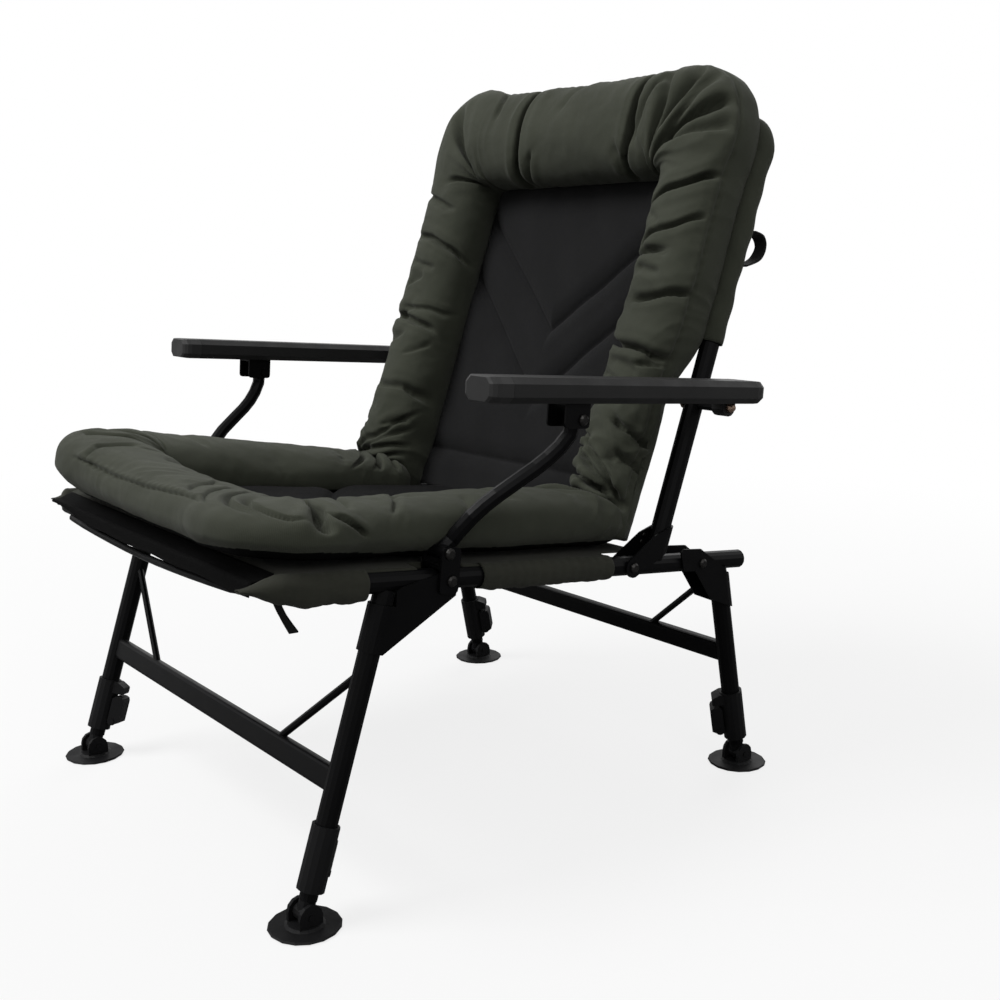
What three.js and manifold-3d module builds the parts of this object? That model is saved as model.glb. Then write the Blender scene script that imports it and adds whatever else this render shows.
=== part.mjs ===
// Folding carp fishing chair: tube frame, reclining back, padded mattress, armrests that fold with the back, and four
// legs with sliding extensions, cam locks and swivelling mud feet.
// Millimetres, +Z up, floor at 0. The sitter faces -Y, and +X is the sitter's left. Angles are in degrees.
import * as THREE from "three";
import { mergeVertices, toCreasedNormals } from "three/addons/utils/BufferGeometryUtils.js";
import Module from "manifold-3d";

const wasm = await Module();
wasm.setup();
const { Manifold, Mesh: SolidMesh } = wasm;

// Shared by every piece
const clearance = 0.3;
const weldSink = 0.2;
const cutOverrun = 2;
const mergeStep = 1e-4;
const creaseAngle = 35;
const tubeSides = 14;
const wrapSides = 16;
const rodSides = 8;
const boltSides = 10;
const tubeBendSteps = 4;
const rollSpacing = 50;

// Main frame tube and its plates
const tubeRadius = 11;
const tubeWall = 1.5;
const plateThickness = 2;
const boltRadius = 3;
const boltHeadRadius = 6;
const boltHeadHeight = 3.2;

// Seat rails: their line runs from the rear end up to the front
const railHalfSpan = 265;
const railRearY = 294.6;
const railRearZ = 266;
const railTiltAngle = 6.33;
const railLength = 620;
const railPlugCap = 5;
const railPlugDepth = 14;
const rearPivotFromEnd = 75;
const reclineFromEnd = 188;
const frontPivotFromEnd = 443.3;

// Front rods of the seat
const rodRadius = 3.9;
const rodAhead = 18.6;
const upperRodDrop = 5.5;
const lowerRodEndDrop = 12.5;
const lowerRodDrop = 19.4;
const rodReturn = 34;
const rodBend = 14;
const rodInset = 32;
const lowerRodInset = 52;

// Seat sling and its sleeves round the rails
const slingThickness = 2;
const sleeveWall = 2;
const slingFrontGapStart = 366;
const slingFrontGapEnd = 556;
const slingRearEnd = 218;
const slingSheetRear = 150;
const slingInset = 20;
const slingWaist = railHalfSpan - slingInset;
const slingLipDrop = 14;

// Legs: each pair leans out from the rails to its feet
const footHalfSpan = 311;
const footPinHeight = 14;
const frontLeanAngle = 18;
const rearLeanAngle = 11.5;
const copeDepth = 4;
const legTubeStart = 48;
const crossbarHeight = 25;
const crossbarDepth = 12;
const crossbarRounding = 4;
const crossbarSink = 6;
const frontCrossbarAt = 127.8;
const rearCrossbarAt = 138.3;
const braceRadius = 4;
const frontBraceReach = 114;
const rearBraceReach = 124;
const frontBraceFoot = railHalfSpan - frontBraceReach;
const rearBraceFoot = railHalfSpan - rearBraceReach;
const braceRise = 90;
const braceSink = 3;

// Gussets of the legs, with their outlines measured from the pivot bolt
const frontGussetReach = 104;
const frontGussetDrop = 60;
const frontGussetEar = 10.3;
const rearGussetReach = 52;
const rearGussetDrop = 61;

// Recline brackets at the foot of the back, measured from their pivot bolt
const reclineReach = 56;
const reclineRise = 37;
const reclineBoss = 11.4;

// Back frame: one bent tube that leans back
const backRootY = 163.7;
const backRootZ = 326;
const backLeanAngle = 19.6;
const backHeight = 474;
const backBend = 34;
const backSleeveStart = 215;
const backSheetStart = 30;
const backSheetInset = 29;
const backSheetWaist = railHalfSpan - backSheetInset;
const backSleeveWall = 2;

// Webbing loop behind the back tube
const loopTop = 360;
const loopBottom = 314;
const loopReach = 25;
const loopWidth = 18;
const loopThickness = 2.4;
const loopRounding = 9;

// Armrests and the pivots of their four-bar
const armOutset = 58;
const armHalfSpan = railHalfSpan + armOutset;
const armPivotAlong = 143.2;
const armTiltAngle = 4.31;
const armWidth = 50;
const armThickness = 24.6;
const armChamfer = 7;
const armRise = 18.75;
const armFront = 336;
const armRear = 34.7;
const capLength = 24;
const capRounding = 10;
const armLugRadius = 10;
const armLugWidth = 17;
const lugInset = 2;
const shaftRadius = 4;
const shaftHeadRadius = 7;
const shaftHeadHeight = 4;
const shaftNutRadius = 5.6;
const shaftNutLength = 7;
const spacerRadius = 6;

// Channel bracket under the armrest's front, whose open pivot takes the support's top end
const openPivotBack = 237.9;
const openPivotDrop = 9.9;
const armBracketWidth = 28;
const armBracketFront = 23;
const armBracketRear = 9;
const armBracketDrop = 8.5;
const armBoltStub = 2.4;

// Arm supports and the saddle brackets on the rails
const saddleForward = 5;
const saddleRise = 27.2;
const saddlePlate = 2.8;
const saddleHalfWidth = 11.4;
const saddleBelow = 12.6;
const saddleAbove = 6;
const saddleRounding = 5;
const saddleWeb = 4;
const supportRadius = 8;
const supportSides = 10;
const supportSteps = 12;
const supportEndRadius = 9;
const supportEndWidth = 11;
const supportBushRadius = 8;

// Sliding lower legs, cam locks and feet, measured up the leg from the foot's pin
const extensionRadius = 9.2;
const extensionTop = 214;
const extensionFoot = 13.2;
const extensionWall = 1.4;
const collarRadius = 14;
const collarBottom = 22.5;
const collarTop = 86;
const collarStep = 46;
const lockBlockBottom = 71;
const lockBlockTop = 85;
const lockBlockReach = 24;
const lockBlockWidth = 20;
const lockPinAt = 36;
const lockPinOut = 18;
const lockPinRadius = 2;
const lockPinHeadRadius = 3.4;
const lockPinHeadHeight = 1.4;
const lockLugRadius = 4.4;
const lockLugWidth = 15;
const leverGap = 0.5;
const leverCheek = 3;
const leverEnd = 5.5;
const leverTop = 68;
const leverReach = 27.5;
const leverRounding = 5;
const leverPaddle = 3.6;
const knuckleRadius = 8.6;
const neckRadius = 8.4;
const knuckleWidth = 17.4;
const footPinRadius = 3;
const footPinLength = 28;
const earThickness = 4;
const earRadius = 12.5;
const padRadius = 36;
const padRim = 3;
const padCrown = 5;
const padCrownRadius = 20;

// Mattress: a stuffed border roll round a quilted middle, on the seat and on the back
const rollSides = 12;
const seatRollWidth = 112;
const seatRollHeight = 68;
const seatRollInset = 55;
const seatRollMiddle = railHalfSpan - seatRollInset;
const seatRollFrontInset = 14;
const seatRollFront = railLength - seatRollFrontInset;
const seatRollRear = 186;
const seatRollCorner = 60;
const seatPanelThickness = 30;
const panelInset = 75;
const seatPanelHalfWidth = railHalfSpan - panelInset;
const seatPanelFrontInset = 60;
const seatPanelFront = railLength - seatPanelFrontInset;
const seatPanelRear = 142;
const backRollWidth = 98;
const backRollDepth = 80;
const backTopDepth = 84;
const backTopWidth = 122;
const backRollInset = 43;
const backRollMiddle = railHalfSpan - backRollInset;
const backRollTopInset = 10;
const backRollTop = backHeight - backRollTopInset;
const backRollFoot = -30;
const backFootDepth = 92;
const backRollCorner = 66;
const backPanelThickness = 14;
const backPanelHalfWidth = railHalfSpan - panelInset;
const backPanelTopInset = 34;
const backPanelTop = backHeight - backPanelTopInset;
const backPanelBottom = -4;
const quiltDip = 7;
const quiltWidth = 26;
const upperTip = 222;
const lowerTip = 146;
const lowSeam = 60;

// Tie strap that hangs from the front of the seat
const tieWidth = 8;
const tieThickness = 2;
const tieLength = 46;
const tieInset = 14;
const tieFromRail = 37;
const tieX = railHalfSpan - tieFromRail;

const finish = {
  frame: { color: 0x2c2d2f, roughness: 0.55, metalness: 0.4 },
  steel: { color: 0xb9bcc0, roughness: 0.3, metalness: 0.9 },
  plastic: { color: 0x2b2c2d, roughness: 0.6, metalness: 0 },
  cap: { color: 0x6b6d70, roughness: 0.55, metalness: 0 },
  sling: { color: 0x2a2b2c, roughness: 0.95, metalness: 0 },
  olive: { color: 0x5f6145, roughness: 0.95, metalness: 0 },
  padding: { color: 0x2f3032, roughness: 0.95, metalness: 0 },
  webbing: { color: 0x242526, roughness: 0.9, metalness: 0 },
};
const material = Object.fromEntries(
  Object.entries(finish).map(([name, look]) => [name, new THREE.MeshStandardMaterial(look)]),
);

const sides = { L: 1, R: -1 };
const rad = THREE.MathUtils.degToRad;
const point = (x, y, z) => new THREE.Vector3(x, y, z);

// Solids

// A closed solid from a three.js geometry: vertices merged, empty triangles dropped, faces turned out.
function solidOf(geometry) {
  const loose = geometry.index ? geometry.toNonIndexed() : geometry;
  const bare = new THREE.BufferGeometry().setAttribute("position", loose.getAttribute("position"));
  const merged = mergeVertices(bare, mergeStep);
  const corners = merged.index.array;
  const kept = [];
  for (let i = 0; i < corners.length; i += 3) {
    const [a, b, c] = [corners[i], corners[i + 1], corners[i + 2]];
    if (a !== b && b !== c && a !== c) kept.push(a, b, c);
  }
  const made = (order) =>
    new Manifold(
      new SolidMesh({
        numProp: 3,
        vertProperties: new Float32Array(merged.attributes.position.array),
        triVerts: new Uint32Array(order),
      }),
    );
  const solid = made(kept);
  return solid.volume() < 0 ? made(kept.reverse()) : solid;
}

function geometryOf(solid) {
  const mesh = solid.getMesh();
  const places = new Float32Array(mesh.numVert * 3);
  for (let i = 0; i < mesh.numVert; i++) {
    places.set(mesh.vertProperties.subarray(i * mesh.numProp, i * mesh.numProp + 3), i * 3);
  }
  const geometry = new THREE.BufferGeometry()
    .setAttribute("position", new THREE.BufferAttribute(places, 3))
    .setIndex(new THREE.BufferAttribute(new Uint32Array(mesh.triVerts), 1));
  return toCreasedNormals(geometry, rad(creaseAngle));
}

const joined = (solids) => solids.reduce((whole, next) => whole.add(next));
const cut = (solid, cutters) => cutters.reduce((left, next) => left.subtract(next), solid);

function mesh(name, solid, look) {
  const made = new THREE.Mesh(geometryOf(solid), look);
  made.name = name;
  return made;
}

function group(parts, at, turn = 0) {
  const made = new THREE.Group();
  made.position.copy(at);
  made.rotation.x = rad(turn);
  made.add(...parts);
  return made;
}

// A round bar between two points.
function bar(from, to, radius, count = tubeSides) {
  const way = to.clone().sub(from);
  const geometry = new THREE.CylinderGeometry(radius, radius, way.length(), count);
  geometry.applyQuaternion(
    new THREE.Quaternion().setFromUnitVectors(THREE.Object3D.DEFAULT_UP, way.clone().normalize()),
  );
  const middle = from.clone().lerp(to, 1 / 2);
  return solidOf(geometry.translate(middle.x, middle.y, middle.z));
}

// A round bar along X, centred on a point of the side view.
const crossPin = (xFrom, xTo, y, z, radius, count = boltSides) =>
  bar(point(xFrom, y, z), point(xTo, y, z), radius, count);

// A box between two corners.
function block(low, high) {
  const size = high.clone().sub(low);
  const middle = low.clone().lerp(high, 1 / 2);
  const geometry = new THREE.BoxGeometry(size.x, size.y, size.z);
  return solidOf(geometry.translate(middle.x, middle.y, middle.z));
}

// An outline of the side view, as [y, z] points, made solid between two values of X.
const sideBasis = new THREE.Matrix4().makeBasis(point(0, 1, 0), point(0, 0, 1), point(1, 0, 0));
function sidePrism(outline, xFrom, xTo) {
  const shape = new THREE.Shape(outline.map(([y, z]) => new THREE.Vector2(y, z)));
  const geometry = new THREE.ExtrudeGeometry(shape, { depth: xTo - xFrom, bevelEnabled: false });
  return solidOf(geometry.applyMatrix4(sideBasis).translate(xFrom, 0, 0));
}

// An outline with rounded corners, each corner given as [across, up, radius].
const cornerSteps = 3;
function rounded(corners) {
  return corners.flatMap(([x, y, radius], i) => {
    const corner = new THREE.Vector2(x, y);
    if (!radius) return [[x, y]];
    const before = new THREE.Vector2(...corners.at(i - 1)).sub(corner);
    const after = new THREE.Vector2(...corners[(i + 1) % corners.length]).sub(corner);
    const half = Math.abs(before.angleTo(after)) / 2;
    const reach = Math.min(radius / Math.tan(half), before.length() / 2, after.length() / 2);
    const start = corner.clone().add(before.setLength(reach));
    const end = corner.clone().add(after.setLength(reach));
    const bend = new THREE.QuadraticBezierCurve(start, corner, end);
    return bend.getPoints(cornerSteps).map((p) => [p.x, p.y]);
  });
}

// Points of an arc in the side view, from one angle to another.
function arc(y, z, radius, fromAngle, toAngle, steps) {
  return Array.from({ length: steps + 1 }, (_, i) => {
    const angle = rad(THREE.MathUtils.lerp(fromAngle, toAngle, i / steps));
    return [y + radius * Math.cos(angle), z + radius * Math.sin(angle)];
  });
}

const ringShape = (radius, count) =>
  new THREE.Shape(
    Array.from({ length: count }, (_, i) => {
      const angle = (2 * Math.PI * (i + 1 / 2)) / count;
      return new THREE.Vector2(radius * Math.cos(angle), radius * Math.sin(angle));
    }),
  );

// A route of straights and rounded bends, with stations only where the route turns.
class BentRoute extends THREE.Curve {
  constructor(points, bendRadius, bendSteps) {
    super();
    this.stations = [];
    const add = (at, along) => this.stations.push({ at, along });
    points.forEach((corner, i) => {
      const before = i > 0 ? corner.clone().sub(points[i - 1]).normalize() : null;
      const after = i < points.length - 1 ? points[i + 1].clone().sub(corner).normalize() : null;
      if (!before) add(corner, after);
      else if (!after) add(corner, before);
      else {
        const turn = before.angleTo(after);
        const reach = bendRadius * Math.tan(turn / 2);
        const axis = before.clone().cross(after).normalize();
        const start = corner.clone().addScaledVector(before, -reach);
        const inward = axis.clone().cross(before);
        const centre = start.clone().addScaledVector(inward, bendRadius);
        for (let step = 0; step <= bendSteps; step++) {
          const spin = new THREE.Quaternion().setFromAxisAngle(axis, (turn * step) / bendSteps);
          const at = start.clone().sub(centre).applyQuaternion(spin).add(centre);
          add(at, before.clone().applyQuaternion(spin));
        }
      }
    });
    this.steps = this.stations.length - 1;
  }
  station(share) {
    return this.stations[Math.round(share * this.steps)];
  }
  getPointAt(share, target = new THREE.Vector3()) {
    return target.copy(this.station(share).at);
  }
  getTangentAt(share, target = new THREE.Vector3()) {
    return target.copy(this.station(share).along);
  }
  getPoint(share, target) {
    return this.getPointAt(share, target);
  }
}

const swept = (shape, route, steps) =>
  solidOf(new THREE.ExtrudeGeometry(shape, { steps, bevelEnabled: false, extrudePath: route }));

// A round solid along a bent route.
function bentTube(points, bendRadius, bendSteps, radius, count = tubeSides) {
  const route = new BentRoute(points, bendRadius, bendSteps);
  return swept(ringShape(radius, count), route, route.steps);
}

// A closed skin over rings of points, with a fan over each end.
function loft(rings) {
  const places = [];
  const triangle = (a, b, c) => places.push(...a.toArray(), ...b.toArray(), ...c.toArray());
  const count = rings[0].length;
  for (let r = 0; r + 1 < rings.length; r++) {
    for (let i = 0; i < count; i++) {
      const j = (i + 1) % count;
      triangle(rings[r][i], rings[r][j], rings[r + 1][j]);
      triangle(rings[r][i], rings[r + 1][j], rings[r + 1][i]);
    }
  }
  const middleOf = (ring) => ring.reduce((sum, p) => sum.add(p), point(0, 0, 0)).divideScalar(count);
  const [first, last] = [rings[0], rings.at(-1)];
  const [start, end] = [middleOf(first), middleOf(last)];
  for (let i = 0; i < count; i++) {
    const j = (i + 1) % count;
    triangle(start, first[j], first[i]);
    triangle(end, last[i], last[j]);
  }
  const geometry = new THREE.BufferGeometry();
  geometry.setAttribute("position", new THREE.Float32BufferAttribute(places, 3));
  return solidOf(geometry);
}

// A bolt along X: shank, a low domed head outside and a flat nut inside.
function bolt(side, y, z, inside, outside, radius = boltRadius, headRadius = boltHeadRadius) {
  const at = (x) => side * x;
  const profile = [
    new THREE.Vector2(0, 0),
    new THREE.Vector2(headRadius, 0),
    new THREE.Vector2(headRadius * headEdgeShare, boltHeadHeight * headShoulderShare),
    new THREE.Vector2(headRadius * headCrownShare, boltHeadHeight),
    new THREE.Vector2(0, boltHeadHeight),
  ];
  const head = new THREE.LatheGeometry(profile, boltSides);
  head.rotateZ((-side * Math.PI) / 2).translate(at(outside), y, z);
  const shank = crossPin(at(inside - weldSink), at(outside + weldSink), y, z, radius);
  const nut = crossPin(at(inside), at(inside - boltHeadHeight), y, z, headRadius, nutSides);
  return joined([solidOf(head), shank, nut]);
}
const headEdgeShare = 0.94;
const headShoulderShare = 0.5;
const headCrownShare = 0.6;
const nutSides = 6;

// The seat deck stands in a frame along the rails: origin at the rail's rear end, +Y along the rail to the rear

const plateInner = tubeRadius + clearance;
const plateOuter = plateInner + plateThickness;
const deckOrigin = point(0, railRearY, railRearZ);
const deckTurn = -railTiltAngle;
const deckToWorld = (y, z) =>
  point(0, y, z)
    .applyAxisAngle(point(1, 0, 0), rad(deckTurn))
    .add(deckOrigin);
const frontPivot = deckToWorld(-frontPivotFromEnd, 0);
const rearPivot = deckToWorld(-rearPivotFromEnd, 0);
const reclinePivot = deckToWorld(-reclineFromEnd, 0);
const boltHole = boltRadius + clearance;

function seatFrame() {
  const ends = -railLength;
  const tubes = Object.values(sides).map((side) => {
    const x = side * railHalfSpan;
    const outer = bar(point(x, 0, 0), point(x, ends, 0), tubeRadius);
    const pivots = [frontPivotFromEnd, rearPivotFromEnd, reclineFromEnd];
    const through = [x - tubeRadius - cutOverrun, x + tubeRadius + cutOverrun];
    return { x, outer, holes: pivots.map((d) => crossPin(...through, -d, 0, boltHole)) };
  });
  const rodLine = ends - rodAhead;
  const rootX = railHalfSpan - tubeRadius + tubeWall;
  const upper = [
    point(rootX, ends + rodReturn, 0),
    point(railHalfSpan - rodInset, rodLine, -upperRodDrop),
    point(-(railHalfSpan - rodInset), rodLine, -upperRodDrop),
    point(-rootX, ends + rodReturn, 0),
  ];
  const upperRod = bentTube(upper, rodBend, 3, rodRadius, rodSides);
  const half = railHalfSpan - lowerRodInset;
  const lowerLine = new THREE.CatmullRomCurve3([
    point(rootX, ends + rodReturn, -tubeRadius / 2),
    point(half + rodBend, rodLine + rodBend / 2, -lowerRodEndDrop),
    point(half - rodBend, rodLine, -lowerRodEndDrop),
    point(0, rodLine, -lowerRodDrop),
    point(-(half - rodBend), rodLine, -lowerRodEndDrop),
    point(-(half + rodBend), rodLine + rodBend / 2, -lowerRodEndDrop),
    point(-rootX, ends + rodReturn, -tubeRadius / 2),
  ]);
  const lowerRod = swept(ringShape(rodRadius, rodSides), lowerLine, 14);
  const bores = tubes.map(({ x }) =>
    bar(point(x, cutOverrun, 0), point(x, ends - cutOverrun, 0), tubeRadius - tubeWall),
  );
  return cut(joined([...tubes.map((t) => t.outer), upperRod, lowerRod]), [
    ...bores,
    ...tubes.flatMap((t) => t.holes),
  ]);
}

function railPlug(side) {
  const cap = [
    new THREE.Vector2(0, 0),
    new THREE.Vector2(tubeRadius, 0),
    new THREE.Vector2(tubeRadius, railPlugCap / 2),
    new THREE.Vector2(tubeRadius * headCrownShare, railPlugCap),
    new THREE.Vector2(0, railPlugCap),
  ];
  const head = solidOf(new THREE.LatheGeometry(cap, tubeSides).translate(0, clearance, 0));
  const stem = bar(
    point(0, clearance * 2, 0),
    point(0, -railPlugDepth, 0),
    tubeRadius - tubeWall - clearance,
  );
  return joined([head, stem]).translate([side * railHalfSpan, 0, 0]);
}

// The sling: a sheet over the rails, with sleeves where no bracket sits and a lip over the front rod.
function seatSling() {
  const inner = tubeRadius + clearance;
  const outer = inner + sleeveWall;
  const front = -(railLength + rodAhead + rodRadius);
  const flat = block(
    point(-slingWaist, front, inner),
    point(slingWaist, -slingSheetRear, inner + slingThickness),
  );
  const runs = [
    [-railLength, -slingFrontGapEnd],
    [-slingFrontGapStart, -slingRearEnd],
  ];
  const wings = runs.map(([a, b]) =>
    block(point(-railHalfSpan, a, inner), point(railHalfSpan, b, inner + slingThickness)),
  );
  const sleeves = Object.values(sides).flatMap((side) =>
    runs.map(([a, b]) => {
      const x = side * railHalfSpan;
      return bar(point(x, a, 0), point(x, b, 0), outer, tubeSides);
    }),
  );
  const lip = block(
    point(-(railHalfSpan - rodInset - rodBend), front, inner + slingThickness - slingLipDrop),
    point(railHalfSpan - rodInset - rodBend, front + slingThickness, inner + slingThickness),
  );
  const bores = Object.values(sides).map((side) => {
    const x = side * railHalfSpan;
    return bar(point(x, cutOverrun, 0), point(x, front - cutOverrun, 0), inner, tubeSides);
  });
  const rodClear = bentTube(
    [
      point(railHalfSpan - tubeRadius + tubeWall, -railLength + rodReturn, 0),
      point(railHalfSpan - rodInset, -railLength - rodAhead, -upperRodDrop),
      point(-(railHalfSpan - rodInset), -railLength - rodAhead, -upperRodDrop),
      point(-(railHalfSpan - tubeRadius + tubeWall), -railLength + rodReturn, 0),
    ],
    rodBend,
    3,
    rodRadius + clearance * 2,
    rodSides,
  );
  const slits = Object.values(sides).map((side) => {
    const xs = [railHalfSpan - tubeRadius / 2, railHalfSpan - outer - cutOverrun].map((x) => side * x);
    return block(
      point(Math.min(...xs), front, -outer - cutOverrun),
      point(Math.max(...xs), -railLength + rodReturn + rodRadius * 2, rodRadius + clearance),
    );
  });
  return cut(joined([flat, ...wings, ...sleeves, lip]), [...bores, rodClear, ...slits]);
}

// Stuffed roll along a line in the plane of the deck or back: rings of a rounded section that stands on the plane.
function stuffedRoll(stations, section) {
  const rings = stations.map(({ at, along }, i) => {
    const across = point(along.y, -along.x, 0);
    const fill = 1 + cornerFillShare * Math.abs(2 * along.x * along.y);
    const { width, height, base } = section(i / (stations.length - 1), at);
    return Array.from({ length: rollSides }, (_, k) => {
      const angle = (2 * Math.PI * (k + 1 / 2)) / rollSides;
      const [c, s] = [Math.cos(angle), Math.sin(angle)];
      const square = s < 0 ? rollFootShare : rollCrownShare;
      const out = ((c < 0 ? -fill : 1) * Math.abs(c) ** square * width) / 2;
      const up = ((Math.sign(s) * Math.abs(s) ** square + 1) * height) / 2;
      return at.clone().addScaledVector(across, out).add(point(0, 0, base + up));
    });
  });
  return loft(rings);
}
const rollCrownShare = 0.9;
const cornerFillShare = 0.4;
const rollFootShare = 0.6;

// Even stations along a bent route, its bends included.
function evenStations(points, bend, spacing) {
  const route = new BentRoute(points, bend, tubeBendSteps);
  const out = [];
  route.stations.forEach((station, i) => {
    if (i > 0) {
      const last = route.stations[i - 1];
      const gap = last.at.distanceTo(station.at);
      const parts = Math.max(1, Math.round(gap / spacing));
      for (let k = 1; k < parts; k++) {
        out.push({
          at: last.at.clone().lerp(station.at, k / parts),
          along: last.along.clone().lerp(station.along, k / parts).normalize(),
        });
      }
    }
    out.push(station);
  });
  return out;
}

const taper = (share) => Math.min(1, Math.sqrt(Math.max(0, 1 - (1 - share) ** 2)));
const deckTop = tubeRadius + clearance + slingThickness + clearance;

function seatRoll(grow = 0) {
  const stations = evenStations(
    [
      point(-seatRollMiddle, grow - seatRollRear, 0),
      point(-seatRollMiddle, -seatRollFront, 0),
      point(seatRollMiddle, -seatRollFront, 0),
      point(seatRollMiddle, grow - seatRollRear, 0),
    ],
    seatRollCorner,
    rollSpacing,
  );
  return stuffedRoll(stations, (share) => {
    const fromEnd = Math.min(share, 1 - share);
    const end = taper(Math.min(1, rollEndShare + fromEnd / rollTaperShare));
    return {
      width: seatRollWidth * end + 2 * grow,
      height: seatRollHeight * end + 2 * grow,
      base: deckTop - grow,
    };
  });
}
const rollEndShare = 0.4;
const rollTaperShare = 0.035;

// Quilted middle: a padded sheet whose top dips along its seams.
function quilted(halfWidth, from, to, base, thickness, seams, columns, rows) {
  const top = (x, y) => {
    const nearest = Math.min(...seams.map((seam) => seam(x, y)), quiltWidth);
    const edge = Math.min(halfWidth - Math.abs(x), y - from, to - y, quiltWidth);
    const dip = quiltDip * (1 - Math.sin((Math.PI / 2) * (nearest / quiltWidth)));
    const round = 1 - Math.sin((Math.PI / 2) * (edge / quiltWidth));
    return base + thickness - dip - (thickness * round) / 2;
  };
  const at = (i, j) => {
    const x = THREE.MathUtils.lerp(-halfWidth, halfWidth, i / columns);
    const y = THREE.MathUtils.lerp(from, to, j / rows);
    return point(x, y, top(x, y));
  };
  const places = [];
  const triangle = (a, b, c) => places.push(...a.toArray(), ...b.toArray(), ...c.toArray());
  for (let i = 0; i < columns; i++) {
    for (let j = 0; j < rows; j++) {
      const [a, b, c, d] = [at(i, j), at(i + 1, j), at(i + 1, j + 1), at(i, j + 1)];
      triangle(a, b, c);
      triangle(a, c, d);
    }
  }
  const rim = [
    ...Array.from({ length: columns }, (_, i) => at(i, 0)),
    ...Array.from({ length: rows }, (_, j) => at(columns, j)),
    ...Array.from({ length: columns }, (_, i) => at(columns - i, rows)),
    ...Array.from({ length: rows }, (_, j) => at(0, rows - j)),
  ];
  const middle = point(0, (from + to) / 2, base);
  rim.forEach((p, i) => {
    const q = rim[(i + 1) % rim.length];
    const [low, next] = [p.clone().setZ(base), q.clone().setZ(base)];
    triangle(p, low, next);
    triangle(p, next, q);
    triangle(middle, next, low);
  });
  const geometry = new THREE.BufferGeometry();
  geometry.setAttribute("position", new THREE.Float32BufferAttribute(places, 3));
  return solidOf(geometry);
}

// The seat's border gives way to the saddle brackets and to the rolls of the back.
function seatBorder() {
  const saddles = Object.values(sides).map((side) => {
    const reach = saddleOuter + clearance + boltHeadHeight + clearance;
    const middle = -frontPivotFromEnd - saddleForward / 2;
    const x = side * railHalfSpan;
    const half = saddleHalfWidth + clearance;
    return block(
      point(x - reach, middle - half, 0),
      point(x + reach, middle + half + supportRadius, saddleRise + saddleAbove + supportRadius),
    );
  });
  const swings = Object.values(sides).map((side) => {
    const xs = [railHalfSpan - supportRadius - clearance, railHalfSpan + supportRadius];
    const [low, high] = xs.map((x) => side * x).sort((a, b) => a - b);
    return block(
      point(low, saddleY - supportRadius, 0),
      point(high, saddleY + supportRadius * 6, saddleRise + supportRadius * 6),
    );
  });
  return cut(seatRoll(), [...saddles, ...swings, backInDeck(backRoll(clearance))]);
}

// A solid of the back's frame, as it lies in the deck's frame.
const backInDeck = (solid) => {
  const at = backOrigin.clone().sub(deckOrigin).applyAxisAngle(point(1, 0, 0), -rad(deckTurn));
  return solid.rotate([backTurn - deckTurn, 0, 0]).translate(at.toArray());
};

function seatPanel() {
  const middle = -(seatPanelFront + seatPanelRear) / 2;
  const seams = [(x, y) => Math.abs(y - middle + Math.abs(x) * vSlopeShare)];
  const pad = quilted(
    seatPanelHalfWidth,
    -seatPanelFront,
    -seatPanelRear,
    deckTop,
    seatPanelThickness,
    seams,
    seatQuiltColumns,
    seatQuiltRows,
  );
  return cut(pad, [seatRoll(clearance), backInDeck(backRoll(clearance))]);
}
const vSlopeShare = 0.7;
const seatQuiltColumns = 12;
const seatQuiltRows = 12;

// A webbing tie that hangs from the sling beside the front rods.
function tieStrap() {
  const top = point(tieX, -railLength + tieInset, tubeRadius + tieThickness);
  const bottom = point(tieX + tieWidth, -railLength + tieInset + tieWidth, -tieLength);
  const line = new THREE.CatmullRomCurve3([top, top.clone().lerp(bottom, 1 / 2), bottom]);
  const shape = new THREE.Shape([
    new THREE.Vector2(-tieWidth / 2, -tieThickness / 2),
    new THREE.Vector2(tieWidth / 2, -tieThickness / 2),
    new THREE.Vector2(tieWidth / 2, tieThickness / 2),
    new THREE.Vector2(-tieWidth / 2, tieThickness / 2),
  ]);
  const sheet = block(
    point(tieX - tieWidth, -railLength, tubeRadius),
    point(tieX + tieWidth, 0, tubeRadius + tieWidth),
  );
  return swept(shape, line, 5).subtract(sheet);
}

// Saddle bracket on the rail for an arm support, in the deck's frame, with its lower hole on the front pivot bolt.
const saddleY = -(frontPivotFromEnd + saddleForward);
const saddleInner = plateOuter + clearance;
const saddleOuter = saddleInner + saddlePlate;
const supportRoot = deckToWorld(saddleY, saddleRise);

function saddleBracket(side) {
  const x = side * railHalfSpan;
  const middle = -frontPivotFromEnd - saddleForward / 2;
  const outline = rounded([
    [middle - saddleHalfWidth, -saddleBelow, saddleRounding],
    [middle + saddleHalfWidth, -saddleBelow, saddleRounding],
    [middle + saddleHalfWidth, saddleRise + saddleAbove, saddleRounding],
    [middle - saddleHalfWidth, saddleRise + saddleAbove, saddleRounding],
  ]);
  const plates = [-1, 1].map((way) => {
    const [a, b] = [saddleInner * way, saddleOuter * way].sort((p, q) => p - q);
    return sidePrism(outline, x + a, x + b);
  });
  const webBase = tubeRadius + clearance;
  const web = block(
    point(x - saddleInner - weldSink, middle - saddleHalfWidth, webBase),
    point(x + saddleInner + weldSink, middle + saddleHalfWidth, webBase + saddleWeb),
  );
  const holes = [
    [-frontPivotFromEnd, 0],
    [saddleY, saddleRise],
  ].map(([y, z]) =>
    crossPin(x - saddleOuter - cutOverrun, x + saddleOuter + cutOverrun, y, z, boltHole),
  );
  return cut(joined([...plates, web]), holes);
}

const supportBolt = (side) =>
  bolt(
    side,
    saddleY,
    saddleRise,
    railHalfSpan - saddleOuter - clearance,
    railHalfSpan + saddleOuter + clearance,
  );

// Legs, in a frame that stands at the feet's pins with +Z up the legs

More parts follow.
